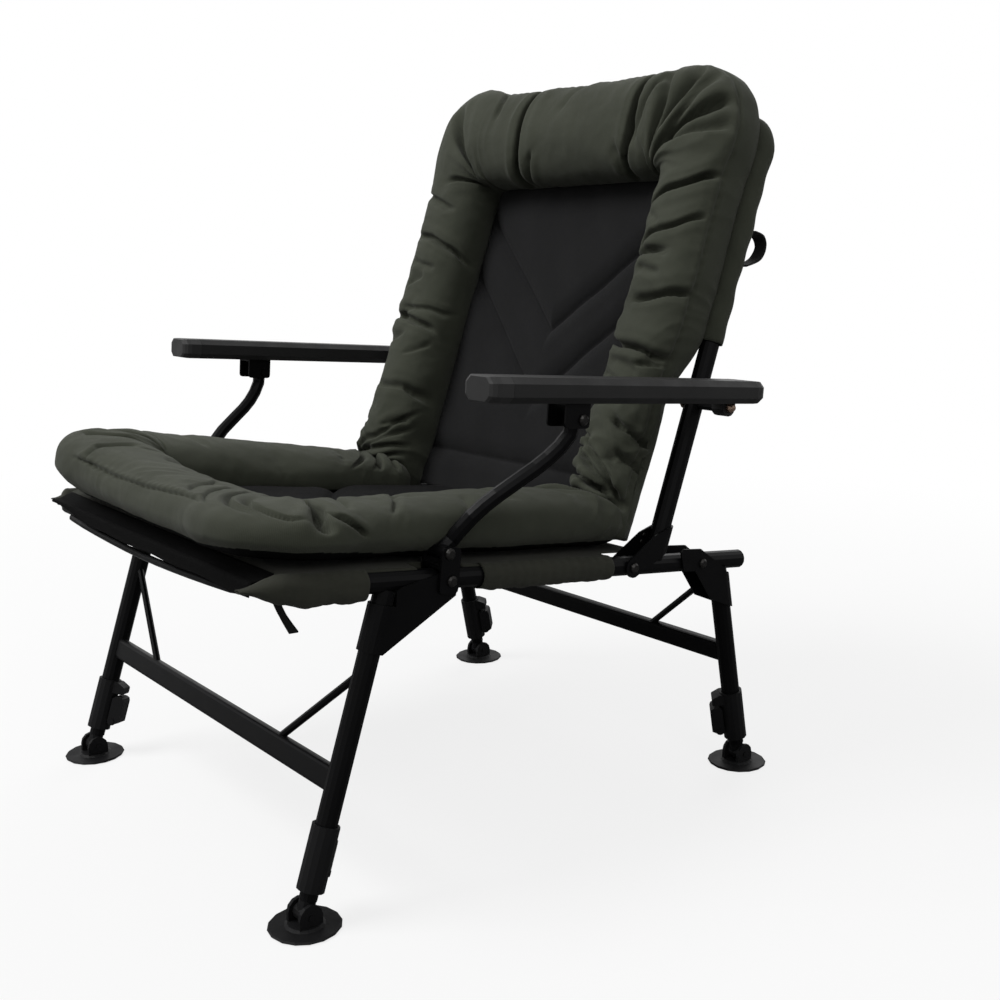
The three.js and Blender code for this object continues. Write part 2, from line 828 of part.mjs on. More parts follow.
const legs = {
  front: { way: -1, lean: frontLeanAngle, pivot: frontPivot, bar: frontCrossbarAt, foot: frontBraceFoot },
  rear: { way: 1, lean: rearLeanAngle, pivot: rearPivot, bar: rearCrossbarAt, foot: rearBraceFoot },
};
for (const leg of Object.values(legs)) {
  leg.pin = point(0, leg.way * footHalfSpan, footPinHeight);
  leg.turn = leg.way * leg.lean;
  leg.local = (p) => p.clone().sub(leg.pin).applyAxisAngle(point(1, 0, 0), -rad(leg.turn));
}

// Where a leg's axis meets the line that lies a given height over the rails' axis.
function legReach(leg, over) {
  const a = leg.local(deckToWorld(0, over));
  const b = leg.local(deckToWorld(-railLength, over));
  return THREE.MathUtils.mapLinear(0, a.y, b.y, a.z, b.z);
}

// The rails with a clearance round them, as cutters in another frame.
const railClear = (local) =>
  Object.values(sides).map((side) => {
    const ends = [cutOverrun, -railLength].map((y) => local(deckToWorld(y, 0)));
    const [from, to] = ends.map((p) => p.setX(side * railHalfSpan));
    return bar(from, to, tubeRadius + clearance);
  });

// Outlines of the plates beside the rail, as shares of reach and drop from the pivot; +1 across is toward the leg.
const frontGussetShares = [
  [-0.07, -0.27],
  [0.77, -1],
  [1.05, -0.84],
  [0.93, -0.22],
  [0.85, -0.15],
  [0.61, -0.25],
  [0.6, 0],
  [0.55, 0.04],
];
const rearGussetShares = [
  [-0.6, -0.08],
  [-0.7, 0.3],
  [-0.61, 0.35],
  [-0.06, 0.29],
  [0.05, 0.22],
  [0.74, -0.18],
  [0.75, -0.24],
  [1.2, -0.4],
  [1.35, -1.1],
  [1, -1],
  [0.33, -0.76],
  [-0.2, -0.13],
];

legs.front.outline = ({ y, z }) => [
  ...frontGussetShares.map(([a, b]) => [y - a * frontGussetReach, z + b * frontGussetDrop]),
  ...arc(y, z, frontGussetEar, 90, -30, 6),
];
legs.rear.outline = ({ y, z }) =>
  rearGussetShares.map(([a, b]) => [y + a * rearGussetReach, z + b * rearGussetDrop]);

// A channel plate that wraps one face of a tube and passes both sides of the rail. The tube stands on local Z, the
// wrapped face looks the given way, and the outline is in the world's side view.
function channelPlate({ side, local, way, outline, low, high, wrap }) {
  const x = side * railHalfSpan;
  const flat = outline.map(([y, z]) => {
    const p = local(point(0, y, z));
    return [p.y, p.z];
  });
  const across = [-way * (high - low), 0].sort((a, b) => a - b);
  const channel = (half, round) =>
    joined([
      bar(point(x, 0, low), point(x, 0, high), round, wrapSides),
      block(point(x - half, across[0], low), point(x + half, across[1], high)),
    ]);
  return sidePrism(flat, x - plateOuter, x + plateOuter)
    .intersect(channel(plateOuter, plateOuter))
    .subtract(channel(plateInner, wrap));
}

function gusset(leg, side) {
  const middle = legReach(leg, 0);
  return channelPlate({
    side,
    local: leg.local,
    way: leg.way,
    outline: leg.outline(leg.pivot),
    low: middle - railHalfSpan,
    high: middle + railHalfSpan,
    wrap: tubeRadius - weldSink,
  });
}

function legFrame(leg) {
  const top = legReach(leg, -tubeRadius + copeDepth);
  const tubes = Object.values(sides).map((side) => {
    const x = side * railHalfSpan;
    return bar(point(x, 0, legTubeStart), point(x, 0, top), tubeRadius);
  });
  const gussets = Object.values(sides).map((side) => gusset(leg, side));
  const half = railHalfSpan - tubeRadius + crossbarSink;
  const [d, h] = [crossbarDepth / 2, crossbarHeight / 2];
  const section = rounded([
    [-d, leg.bar - h, crossbarRounding],
    [d, leg.bar - h, crossbarRounding],
    [d, leg.bar + h, crossbarRounding],
    [-d, leg.bar + h, crossbarRounding],
  ]);
  const crossbar = sidePrism(section, -half, half);
  const braces = Object.values(sides).map((side) => {
    const foot = point(side * leg.foot, 0, leg.bar + h - braceSink);
    const head = point(side * (railHalfSpan - tubeRadius + braceSink), 0, leg.bar + h + braceRise);
    return bar(foot, head, braceRadius, rodSides);
  });
  const bores = Object.values(sides).map((side) => {
    const x = side * railHalfSpan;
    const bottom = legTubeStart - cutOverrun;
    return bar(point(x, 0, bottom), point(x, 0, top + tubeRadius * 2), tubeRadius - tubeWall);
  });
  const pivot = leg.local(leg.pivot);
  const holes = Object.values(sides).map((side) => {
    const x = side * railHalfSpan;
    const reach = plateOuter + cutOverrun;
    return crossPin(x - reach, x + reach, pivot.y, pivot.z, boltHole);
  });
  const solid = joined([...tubes, ...gussets, crossbar, ...braces]);
  return cut(solid, [...bores, ...railClear(leg.local), ...holes]);
}

// Sliding lower leg, its knuckle, the swivelling foot and the cam lock, on the leg's own axis

function extension() {
  const shape = ringShape(extensionRadius, tubeSides);
  shape.holes.push(ringShape(extensionRadius - extensionWall, tubeSides));
  const geometry = new THREE.ExtrudeGeometry(shape, {
    depth: extensionTop - extensionFoot,
    bevelEnabled: false,
  });
  return solidOf(geometry.translate(0, 0, extensionFoot));
}

function knuckle() {
  const lug = crossPin(-knuckleWidth / 2, knuckleWidth / 2, 0, 0, knuckleRadius, tubeSides);
  const plugRadius = extensionRadius - extensionWall - clearance;
  const neck = bar(point(0, 0, 0), point(0, 0, extensionFoot - clearance), neckRadius, boltSides);
  const plug = bar(point(0, 0, 0), point(0, 0, extensionFoot * 2), plugRadius, boltSides);
  const pin = crossPin(-footPinLength / 2, footPinLength / 2, 0, 0, footPinRadius);
  return joined([lug, neck, plug, pin]);
}

// The foot turns about the pin: a thin round pad with two upright ears. It stands level.
function foot() {
  const base = -footPinHeight;
  const profile = [
    new THREE.Vector2(0, base),
    new THREE.Vector2(padRadius - padRim / 2, base),
    new THREE.Vector2(padRadius, base + padRim / 2),
    new THREE.Vector2(padRadius - padRim / 2, base + padRim),
    new THREE.Vector2(padCrownRadius, base + padRim),
    new THREE.Vector2(padCrownRadius - padRim, base + padCrown),
    new THREE.Vector2(0, base + padCrown),
  ];
  const geometry = new THREE.LatheGeometry(profile, padSides);
  const pad = solidOf(geometry.rotateX(Math.PI / 2));
  const outline = [
    [-earRadius, base + padRim],
    [earRadius, base + padRim],
    ...arc(0, 0, earRadius, 0, 180, 6),
  ];
  const inner = knuckleWidth / 2 + clearance;
  const hole = crossPin(
    -footPinLength,
    footPinLength,
    0,
    0,
    footPinRadius + clearance,
  );
  const ears = [-inner - earThickness, inner].map((x) => sidePrism(outline, x, x + earThickness));
  return joined([pad, ...ears]).subtract(hole);
}
const padSides = 16;

// Collar: a round sleeve over the leg's end, with the lock's fixed block and the lug of its lever. The lock looks to +X.
function collar() {
  const sleeve = bar(point(0, 0, collarBottom), point(0, 0, collarTop), collarRadius, tubeSides);
  const half = lockBlockWidth / 2;
  const blockOutline = rounded([
    [0, lockBlockBottom, 0],
    [lockBlockReach, lockBlockBottom, leverRounding / 2],
    [lockBlockReach, lockBlockTop - leverRounding, leverRounding / 2],
    [collarRadius, lockBlockTop, leverRounding / 2],
    [0, lockBlockTop, 0],
  ]);
  const lugOutline = [
    [0, lockPinAt - lockLugRadius],
    ...arc(lockPinOut, lockPinAt, lockLugRadius, -90, 90, 4),
    [0, lockPinAt + lockLugRadius],
  ];
  const fixed = sidePrism(blockOutline, -half, half).rotate([0, 0, -90]);
  const lug = sidePrism(lugOutline, -lockLugWidth / 2, lockLugWidth / 2).rotate([0, 0, -90]);
  const tubeBore = bar(
    point(0, 0, collarStep),
    point(0, 0, collarTop + cutOverrun),
    tubeRadius + clearance,
  );
  const slideBore = bar(
    point(0, 0, collarBottom - cutOverrun),
    point(0, 0, collarTop),
    extensionRadius + clearance,
  );
  const pinHole = lockPin(lockPinRadius + clearance, lockLugWidth + cutOverrun);
  return cut(joined([sleeve, fixed, lug]), [tubeBore, slideBore, pinHole]);
}

const lockPin = (radius, length) =>
  bar(point(lockPinOut, -length / 2, lockPinAt), point(lockPinOut, length / 2, lockPinAt), radius, boltSides);

// Cam lever: two cheeks on the lug's pin, joined by a paddle that lies along the collar.
function lever() {
  const inner = lockLugWidth / 2 + leverGap;
  const outer = inner + leverCheek;
  const outline = [
    [leverReach, lockPinAt],
    [leverReach, leverTop - leverRounding],
    ...arc(leverReach - leverRounding, leverTop - leverRounding, leverRounding, 0, 90, 2).slice(1),
    [lockPinOut - leverEnd + leverPaddle, leverTop],
    [lockPinOut - leverEnd, leverTop - leverPaddle],
    ...arc(lockPinOut, lockPinAt, leverEnd, 180, 330, 5),
  ];
  const body = sidePrism(outline, -outer, outer).rotate([0, 0, -90]);
  const hollow = block(
    point(0, -inner, lockPinAt - leverEnd * 2),
    point(leverReach - leverPaddle, inner, leverTop - leverPaddle),
  );
  const swing = sidePrism(arc(lockPinOut, lockPinAt, lockLugRadius + leverGap, 0, 330, 11), -inner, inner);
  const heads = lockPin(lockPinHeadRadius, 2 * (outer + lockPinHeadHeight));
  const gap = lockPin(lockPinHeadRadius + cutOverrun, 2 * inner);
  const pin = lockPin(lockPinRadius, 2 * outer);
  const beside = bar(
    point(0, 0, collarBottom),
    point(0, 0, leverTop + cutOverrun),
    collarRadius + clearance,
    tubeSides,
  );
  const shell = cut(body, [hollow, swing.rotate([0, 0, -90]), beside]);
  return joined([shell, heads.subtract(gap), pin]);
}

const lockTurns = { front: { L: 135, R: 45 }, rear: { L: 225, R: 45 } };

function legParts(name, leg) {
  const made = [mesh(`${name}_leg_frame`, legFrame(leg), material.frame)];
  const feet = [];
  for (const [mark, side] of Object.entries(sides)) {
    const x = side * railHalfSpan;
    const lock = new THREE.Group();
    lock.position.set(x, 0, 0);
    lock.rotation.z = rad(lockTurns[name][mark]);
    lock.add(
      mesh(`${name}_collar_${mark}`, collar(), material.plastic),
      mesh(`${name}_lever_${mark}`, lever(), material.plastic),
    );
    const slide = group(
      [
        mesh(`${name}_extension_${mark}`, extension(), material.frame),
        mesh(`${name}_knuckle_${mark}`, knuckle(), material.plastic),
      ],
      point(x, 0, 0),
    );
    made.push(lock, slide);
    const pad = mesh(`${name}_foot_${mark}`, foot(), material.plastic);
    feet.push(group([pad], leg.pin.clone().setX(x)));
  }
  return [group(made, leg.pin, leg.turn), ...feet];
}

// Back: its frame stands on the tubes' line, with +Z up the tubes and -Y toward the sitter

const backOrigin = point(0, backRootY, backRootZ);
const backTurn = -backLeanAngle;
const backToWorld = (y, z) =>
  point(0, y, z)
    .applyAxisAngle(point(1, 0, 0), rad(backTurn))
    .add(backOrigin);
const toBack = (p) =>
  p
    .clone()
    .sub(backOrigin)
    .applyAxisAngle(point(1, 0, 0), -rad(backTurn));
const backEnd = (() => {
  const over = tubeRadius - copeDepth;
  const [a, b] = [toBack(deckToWorld(0, over)), toBack(deckToWorld(-railLength, over))];
  return THREE.MathUtils.mapLinear(0, a.y, b.y, a.z, b.z);
})();

function backLine(start) {
  return [
    point(railHalfSpan, 0, start),
    point(railHalfSpan, 0, backHeight),
    point(-railHalfSpan, 0, backHeight),
    point(-railHalfSpan, 0, start),
  ];
}

function backFrame() {
  const outer = bentTube(backLine(backEnd), backBend, tubeBendSteps, tubeRadius);
  const bore = bentTube(backLine(backEnd - cutOverrun), backBend, tubeBendSteps, tubeRadius - tubeWall);
  const holes = Object.values(sides).map((side) => {
    const x = side * railHalfSpan;
    const reach = tubeRadius + cutOverrun;
    return crossPin(x - reach, x + reach, 0, armPivotAlong, shaftRadius + clearance);
  });
  return cut(outer, [bore, ...holes, ...railClear(toBack)]);
}

// The recline bracket's outline from its bolt, +1 across toward the tube.
const reclineShares = [
  [0.93, 0.24],
  [1.3, 0.3],
  [1.5, 1.05],
  [0.93, 1],
  [0.59, 0.86],
];
function reclineBracket(side) {
  const { y, z } = reclinePivot;
  const outline = [
    ...reclineShares.map(([a, b]) => [y + a * reclineReach, z + b * reclineRise]),
    ...arc(y, z, reclineBoss, 120, 280, 8),
  ];
  const bracket = channelPlate({
    side,
    local: toBack,
    way: 1,
    outline,
    low: backEnd - railHalfSpan,
    high: backEnd + railHalfSpan,
    wrap: tubeRadius + clearance,
  });
  const x = side * railHalfSpan;
  const pivot = toBack(reclinePivot);
  const reach = plateOuter + cutOverrun;
  const hole = crossPin(x - reach, x + reach, pivot.y, pivot.z, boltHole);
  return cut(bracket, [...railClear(toBack), hole]);
}

// The back's sleeve over the bent tube, with the sheet that it stretches between the tubes.
function backSling() {
  const inner = tubeRadius + clearance;
  const sleeve = bentTube(backLine(backSleeveStart), backBend, tubeBendSteps, inner + backSleeveWall);
  const half = railHalfSpan - tubeRadius;
  const outline = [
    [backSheetWaist, backSheetStart],
    [backSheetWaist + backSleeveWall * 2, (backSheetStart + backSleeveStart) * sheetFlareShare],
    [half, backSleeveStart],
    [half, backHeight],
  ];
  const both = [...outline, ...outline.map(([x, z]) => [-x, z]).reverse()];
  const flat = new THREE.Shape(both.map(([x, z]) => new THREE.Vector2(x, z)));
  const sheet = new THREE.ExtrudeGeometry(flat, { depth: slingThickness, bevelEnabled: false })
    .rotateX(Math.PI / 2)
    .translate(0, slingThickness / 2, 0);
  const clear = bentTube(backLine(backSleeveStart - backBend), backBend, tubeBendSteps, inner);
  return joined([sleeve, solidOf(sheet)]).subtract(clear);
}
const sheetFlareShare = 0.68;

const backBase = slingThickness / 2 + clearance;

function backRoll(grow = 0) {
  const stations = evenStations(
    [
      point(-backRollMiddle, backRollFoot - grow, 0),
      point(-backRollMiddle, backRollTop, 0),
      point(backRollMiddle, backRollTop, 0),
      point(backRollMiddle, backRollFoot - grow, 0),
    ],
    backRollCorner,
    rollSpacing,
  );
  const roll = stuffedRoll(stations, (share, at) => {
    const fromEnd = Math.min(share, 1 - share);
    const end = taper(Math.min(1, rollEndShare + fromEnd / rollTaperShare));
    const over = THREE.MathUtils.smoothstep(at.y, backRollTop - backRollCorner, backRollTop);
    const width = THREE.MathUtils.lerp(backRollWidth, backTopWidth, over);
    const under = THREE.MathUtils.smoothstep(-at.y, -backRollCorner * 4, -backRollFoot);
    const depth = THREE.MathUtils.lerp(backRollDepth, backTopDepth, over) +
      under * (backFootDepth - backRollDepth);
    return { width: width * end + 2 * grow, height: depth * end + 2 * grow, base: backBase - grow };
  });
  return roll.rotate([90, 0, 0]);
}

function backBorder() {
  const sleeveClear = bentTube(
    backLine(backEnd),
    backBend,
    tubeBendSteps,
    tubeRadius + clearance + backSleeveWall + clearance,
  );
  const heads = Object.values(sides).map((side) => {
    const inside = railHalfSpan - tubeRadius - shaftHeadHeight - cutOverrun;
    return crossPin(side * inside, side * railHalfSpan, 0, armPivotAlong, shaftHeadRadius + clearance * 2);
  });
  const brackets = Object.values(sides).map((side) => {
    const xs = [railHalfSpan - plateOuter - clearance, railHalfSpan + plateOuter + cutOverrun];
    const [low, high] = xs.map((x) => side * x).sort((a, b) => a - b);
    return block(point(low, -backFootDepth, backRollFoot * 2), point(high, 0, clearance));
  });
  return cut(backRoll(), [sleeveClear, ...heads, ...brackets]);
}

const vSeam = (tip, slope) => (x, y) =>
  Math.abs(y - tip - Math.abs(x) * slope) / Math.hypot(1, slope);

function backPanel() {
  const seams = [vSeam(upperTip, upperSlopeShare), vSeam(lowerTip, lowerSlopeShare)];
  seams.push((x, y) => Math.abs(y - lowSeam));
  const pad = quilted(
    backPanelHalfWidth,
    backPanelBottom,
    backPanelTop,
    backBase,
    backPanelThickness,
    seams,
    backQuiltColumns,
    backQuiltRows,
  );
  return pad.rotate([90, 0, 0]).subtract(backRoll(clearance));
}
const upperSlopeShare = 0.77;
const lowerSlopeShare = 0.7;
const backQuiltColumns = 12;
const backQuiltRows = 14;

function webbingLoop() {
  const out = tubeRadius + clearance + backSleeveWall + clearance;
  const route = new BentRoute(
    [
      point(railHalfSpan, out, loopTop),
      point(railHalfSpan, out + loopReach, loopTop - loopThickness * 2),
      point(railHalfSpan, out + loopReach, loopBottom + loopThickness * 2),
      point(railHalfSpan, out, loopBottom),
    ],
    loopRounding,
    4,
  );
  const [w, t] = [loopWidth / 2, loopThickness / 2];
  const shape = new THREE.Shape([
    new THREE.Vector2(-w, -t),
    new THREE.Vector2(w, -t),
    new THREE.Vector2(w, t),
    new THREE.Vector2(-w, t),
  ]);
  const clear = bar(
    point(railHalfSpan, 0, loopBottom - loopReach),
    point(railHalfSpan, 0, loopTop + loopReach),
    out,
  );
  return swept(shape, route, route.steps).subtract(clear);
}

// Armrests, in a frame at the rear pivot that tips with the arm

const armPivot = backToWorld(0, armPivotAlong);
const armTurn = -armTiltAngle;
const armToWorld = (y, z) =>
  point(0, y, z)
    .applyAxisAngle(point(1, 0, 0), rad(armTurn))
    .add(armPivot);

// Ring of the armrest's eight-sided section at a station along it.
function armRing(x, y, halfWidth, halfThickness) {
  const c = Math.min(armChamfer, halfWidth / 2, halfThickness / 2);
  const corners = [
    [halfWidth, halfThickness - c],
    [halfWidth - c, halfThickness],
    [-(halfWidth - c), halfThickness],
    [-halfWidth, halfThickness - c],
    [-halfWidth, -(halfThickness - c)],
    [-(halfWidth - c), -halfThickness],
    [halfWidth - c, -halfThickness],
    [halfWidth, -(halfThickness - c)],
  ];
  return corners.map(([a, b]) => point(x + a, y, armRise + b));
}

// Rings that round an end off in plan, going outward the given way.
function roundEnd(x, end, way, radius, angles) {
  const [w, t] = [armWidth / 2, armThickness / 2];
  return angles.map((angle) => {
    const back = radius * (1 - Math.sin(rad(angle)));
    const narrow = radius * (1 - Math.cos(rad(angle)));
    return armRing(x, end - way * back, w - narrow, t - narrow * endThinningShare);
  });
}
const endThinningShare = 0.14;

function armrest(side) {
  const x = side * armHalfSpan;
  const rings = [
    armRing(x, -armFront, armWidth / 2, armThickness / 2),
    ...roundEnd(x, armRear, 1, armWidth / 2, [0, 20, 40, 58, 72, 82]),
  ];
  const lugMiddle = side * (armHalfSpan - armWidth / 2 + lugInset + armLugWidth / 2);
  const [a, b] = [lugMiddle - armLugWidth / 2, lugMiddle + armLugWidth / 2];
  const lug = crossPin(a, b, 0, 0, armLugRadius, tubeSides);
  const neck = block(point(a, -armLugRadius, 0), point(b, armLugRadius, armRise));
  const bore = crossPin(a - cutOverrun, b + cutOverrun, 0, 0, shaftRadius + clearance);
  return joined([loft(rings), lug, neck]).subtract(bore);
}

function armCap(side) {
  const x = side * armHalfSpan;
  const front = -(armFront + capLength);
  const rings = [
    ...roundEnd(x, front, -1, capRounding, [78, 55, 30, 0]),
    armRing(x, -(armFront + clearance), armWidth / 2, armThickness / 2),
  ];
  return loft(rings);
}

function armBracket(side) {
  const x = side * armHalfSpan;
  const [front, rear] = [-(openPivotBack + armBracketFront), -(openPivotBack - armBracketRear)];
  const top = armRise - armThickness / 2 - clearance;
  const bottom = -(openPivotDrop + armBracketDrop);
  const outline = rounded([
    [front, bottom, armBracketRear / 2],
    [rear, bottom, armBracketRear / 2],
    [rear, top, 0],
    [front, top, 0],
  ]);
  const half = armBracketWidth / 2;
  const inner = half - plateThickness;
  const body = sidePrism(outline, x - half, x + half);
  const hollow = block(
    point(x - inner, front - cutOverrun, bottom - cutOverrun),
    point(x + inner, rear + cutOverrun, top - plateThickness),
  );
  const bore = crossPin(x, side * (armHalfSpan + half + cutOverrun), -openPivotBack, -openPivotDrop, boltHole);
  const nut = crossPin(
    side * (armHalfSpan - half - boltHeadHeight),
    side * (armHalfSpan - inner),
    -openPivotBack,
    -openPivotDrop,
    boltHeadRadius,
    nutSides,
  );
  return joined([cut(body, [hollow, bore]), nut]);
}

// The open pivot's bolt: its head outside and a stub that only fills the bracket's plate.
function armBolt(side) {
  const half = armBracketWidth / 2;
  const outside = armHalfSpan + half + clearance;
  const head = bolt(side, -openPivotBack, -openPivotDrop, outside - armBoltStub, outside);
  const inward = crossPin(
    side * (outside - armBoltStub),
    side * (outside - armBoltStub - boltHeadHeight - cutOverrun),
    -openPivotBack,
    -openPivotDrop,
    boltHeadRadius + cutOverrun,
  );
  return head.subtract(inward);
}

function armShaft(side) {
  const lugEnd = armHalfSpan - armWidth / 2 + lugInset + armLugWidth;
  const inside = railHalfSpan - tubeRadius - clearance;
  const outside = lugEnd + clearance;
  const x = (value) => side * value;
  const shank = crossPin(x(inside), x(outside), 0, 0, shaftRadius);
  const head = crossPin(x(inside - shaftHeadHeight), x(inside), 0, 0, shaftHeadRadius);
  const profile = [
    new THREE.Vector2(0, 0),
    new THREE.Vector2(shaftNutRadius, 0),
    new THREE.Vector2(shaftNutRadius, shaftNutLength / 2),
    new THREE.Vector2(shaftNutRadius * nutDomeShare, shaftNutLength * headEdgeShare),
    new THREE.Vector2(0, shaftNutLength),
  ];
  const nut = new THREE.LatheGeometry(profile, boltSides);
  nut.rotateZ((-side * Math.PI) / 2).translate(x(outside), 0, 0);
  return joined([shank, head, solidOf(nut)]);
}
const nutDomeShare = 0.6;

function armSpacer(side) {
  const from = railHalfSpan + tubeRadius + clearance;
  const to = armHalfSpan - armWidth / 2 + lugInset - clearance;
  const tube = crossPin(side * from, side * to, 0, 0, spacerRadius, boltSides);
  const bore = crossPin(
    side * (from - cutOverrun),
    side * (to + cutOverrun),
    0,
    0,
    shaftRadius + clearance,
  );
  return tube.subtract(bore);
}

// Arm supports: a bent tube from the saddle bracket up to the armrest's bracket, as shares of that way.
const supportShares = [
  [0, 0, 0],
  [0.03, 0.1, 0.075],
  [0.26, 0.195, 0.24],
  [0.44, 0.333, 0.38],
  [0.62, 0.57, 0.534],
  [0.77, 0.78, 0.668],
  [0.9, 0.915, 0.794],
  [0.98, 0.985, 0.9],
  [1, 1, 1],
];

function armSupport(side) {
  const top = armToWorld(-openPivotBack, -openPivotDrop);
  const way = top.clone().sub(supportRoot);
  const line = new THREE.CatmullRomCurve3(
    supportShares.map(([a, b, c]) =>
      point(
        side * THREE.MathUtils.lerp(railHalfSpan, armHalfSpan, a),
        supportRoot.y + way.y * b,
        supportRoot.z + way.z * c,
      ),
    ),
  );
  const tube = swept(ringShape(supportRadius, supportSides), line, supportSteps);
  const x = side * armHalfSpan;
  const end = crossPin(
    x - supportEndWidth / 2,
    x + supportEndWidth / 2,
    top.y,
    top.z,
    supportEndRadius,
    tubeSides,
  );
  const root = side * railHalfSpan;
  const bush = crossPin(
    root - saddleInner + clearance,
    root + saddleInner - clearance,
    supportRoot.y,
    supportRoot.z,
    supportBushRadius,
    supportSides,
  );
  const hole = crossPin(
    root - saddleOuter,
    root + saddleOuter,
    supportRoot.y,
    supportRoot.z,
    boltHole,
  );
  return joined([tube, end, bush]).subtract(hole);
}

// The whole chair

const deck = [
  mesh("seat_frame", seatFrame(), material.frame),
  mesh("seat_sling", seatSling(), material.olive),
  mesh("seat_border", seatBorder(), material.olive),
  mesh("seat_panel", seatPanel(), material.padding),
  mesh("tie_strap", tieStrap(), material.webbing),
];
const back = [
  mesh("back_frame", backFrame(), material.frame),
  mesh("back_sling", backSling(), material.olive),
  mesh("back_border", backBorder(), material.olive),
  mesh("back_panel", backPanel(), material.padding),
  mesh("webbing_loop", webbingLoop(), material.webbing),
];
const arms = [];
const loose = [];
for (const [mark, side] of Object.entries(sides)) {
  const inSaddle = saddleOuter + clearance;
  const inPlate = plateOuter + clearance;
  const pivotBolt = (reach, fromEnd) =>
    bolt(side, -fromEnd, 0, railHalfSpan - reach, railHalfSpan + reach);
  deck.push(
    mesh(`rail_plug_${mark}`, railPlug(side), material.plastic),
    mesh(`arm_saddle_${mark}`, saddleBracket(side), material.frame),
    mesh(`support_bolt_${mark}`, supportBolt(side), material.steel),
    mesh(`front_pivot_bolt_${mark}`, pivotBolt(inSaddle, frontPivotFromEnd), material.steel),
    mesh(`rear_pivot_bolt_${mark}`, pivotBolt(inPlate, rearPivotFromEnd), material.steel),
    mesh(`recline_bolt_${mark}`, pivotBolt(inPlate, reclineFromEnd), material.steel),
  );
  back.push(mesh(`recline_bracket_${mark}`, reclineBracket(side), material.frame));
  arms.push(
    mesh(`armrest_${mark}`, armrest(side), material.plastic),
    mesh(`arm_cap_${mark}`, armCap(side), material.cap),
    mesh(`arm_bracket_${mark}`, armBracket(side), material.frame),
    mesh(`arm_bolt_${mark}`, armBolt(side), material.steel),
    mesh(`arm_shaft_${mark}`, armShaft(side), material.steel),
    mesh(`arm_spacer_${mark}`, armSpacer(side), material.plastic),
  );
  loose.push(mesh(`arm_support_${mark}`, armSupport(side), material.frame));
}

const chair = new THREE.Group();
chair.name = "fishing_chair";
chair.add(
  group(deck, deckOrigin, deckTurn),
  group(back, backOrigin, backTurn),
  group(arms, armPivot, armTurn),
  ...Object.entries(legs).flatMap(([name, leg]) => legParts(name, leg)),
  ...loose,
);

export default chair;
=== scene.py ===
"""Look of the folding fishing chair: stuffed rolls, quilted middles, cloth slings and materials on the CAD frame."""
import math

import bpy
import numpy as np
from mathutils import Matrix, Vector, noise


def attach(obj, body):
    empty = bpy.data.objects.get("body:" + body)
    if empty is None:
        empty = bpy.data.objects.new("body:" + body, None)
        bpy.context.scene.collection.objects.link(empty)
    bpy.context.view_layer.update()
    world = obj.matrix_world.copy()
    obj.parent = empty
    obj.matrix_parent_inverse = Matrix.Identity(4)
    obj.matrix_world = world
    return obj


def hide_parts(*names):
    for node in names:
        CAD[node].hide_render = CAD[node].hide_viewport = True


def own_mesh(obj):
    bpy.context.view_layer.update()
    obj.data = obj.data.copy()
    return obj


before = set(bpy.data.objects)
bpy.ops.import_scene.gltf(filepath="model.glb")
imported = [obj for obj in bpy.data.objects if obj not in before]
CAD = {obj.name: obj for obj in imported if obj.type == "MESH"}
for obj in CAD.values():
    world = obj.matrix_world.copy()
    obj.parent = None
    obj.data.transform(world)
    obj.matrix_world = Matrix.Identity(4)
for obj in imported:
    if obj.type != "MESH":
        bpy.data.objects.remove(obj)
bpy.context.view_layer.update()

# Frames of the deck and the back, in metres: local x, y along the rail to the rear or out of the back, z up
DECK = ((0, 0.2946, 0.266), -6.33)
BACK = ((0, 0.1637, 0.326), -19.6)
RAIL_X = 0.265
CLOTH_THICKNESS = 0.0012
SADDLE = (-0.4483, 0.022)  # where the arm's bracket stands beside the sheet, and how far it reaches


def placed(local, where):
    """Points of a local frame, as world points."""
    (ox, oy, oz), turn = where
    c, s = math.cos(math.radians(turn)), math.sin(math.radians(turn))
    x, y, z = np.moveaxis(np.asarray(local, float), -1, 0)
    return np.stack([x + ox, y * c - z * s + oy, y * s + z * c + oz], -1)


def smooth(low, high, value):
    t = np.clip((value - low) / (high - low), 0, 1)
    return t * t * (3 - 2 * t)


# ---------------------------------------------------------------- meshes


def grid_object(name, points, uv, closed_v=False, caps=False):
    """A mesh over a grid of points (rows, columns, 3), with its flat map in metres.

    Its columns may close into a tube, whose two open ends may be capped by a fan of triangles."""
    rows, cols = points.shape[:2]
    verts = points.reshape(-1, 3).tolist()
    faces = []
    for i in range(rows - 1):
        for j in range(cols - 1 + closed_v):
            a, b = i * cols + j, i * cols + (j + 1) % cols
            faces.append((a, b, b + cols, a + cols))
    if caps:
        for row, order in ((0, 1), (rows - 1, -1)):
            verts.append(points[row].mean(0).tolist())
            ring = [row * cols + j for j in range(cols)]
            faces += [(ring[j], len(verts) - 1, ring[(j + 1) % cols])[::order] for j in range(cols)]
    mesh = bpy.data.meshes.new(name)
    mesh.from_pydata(verts, [], faces)
    mesh.update()
    map_cloth(mesh, uv, closed_v)
    obj = bpy.data.objects.new(name, mesh)
    bpy.context.scene.collection.objects.link(obj)
    mesh.shade_smooth()
    return obj


def map_cloth(mesh, uv, closed_v):
    """Lays the flat map on the faces; on a tube, the last column of faces runs on to the tube's full girth."""
    layer = mesh.uv_layers.new(name="cloth")
    flat = uv.reshape(-1, 2)
    girth = uv[:, -1, 1].max() + (uv[0, 1, 1] - uv[0, 0, 1])
    for poly in mesh.polygons:
        loops = [(k, mesh.loops[k].vertex_index) for k in poly.loop_indices]
        ways = [flat[v, 1] if v < len(flat) else 0 for _, v in loops]
        for (k, v), way in zip(loops, ways):
            if closed_v and way == 0 and max(ways) > girth / 2:
                way = girth
            layer.data[k].uv = (flat[v, 0] if v < len(flat) else flat[0, 0], way)


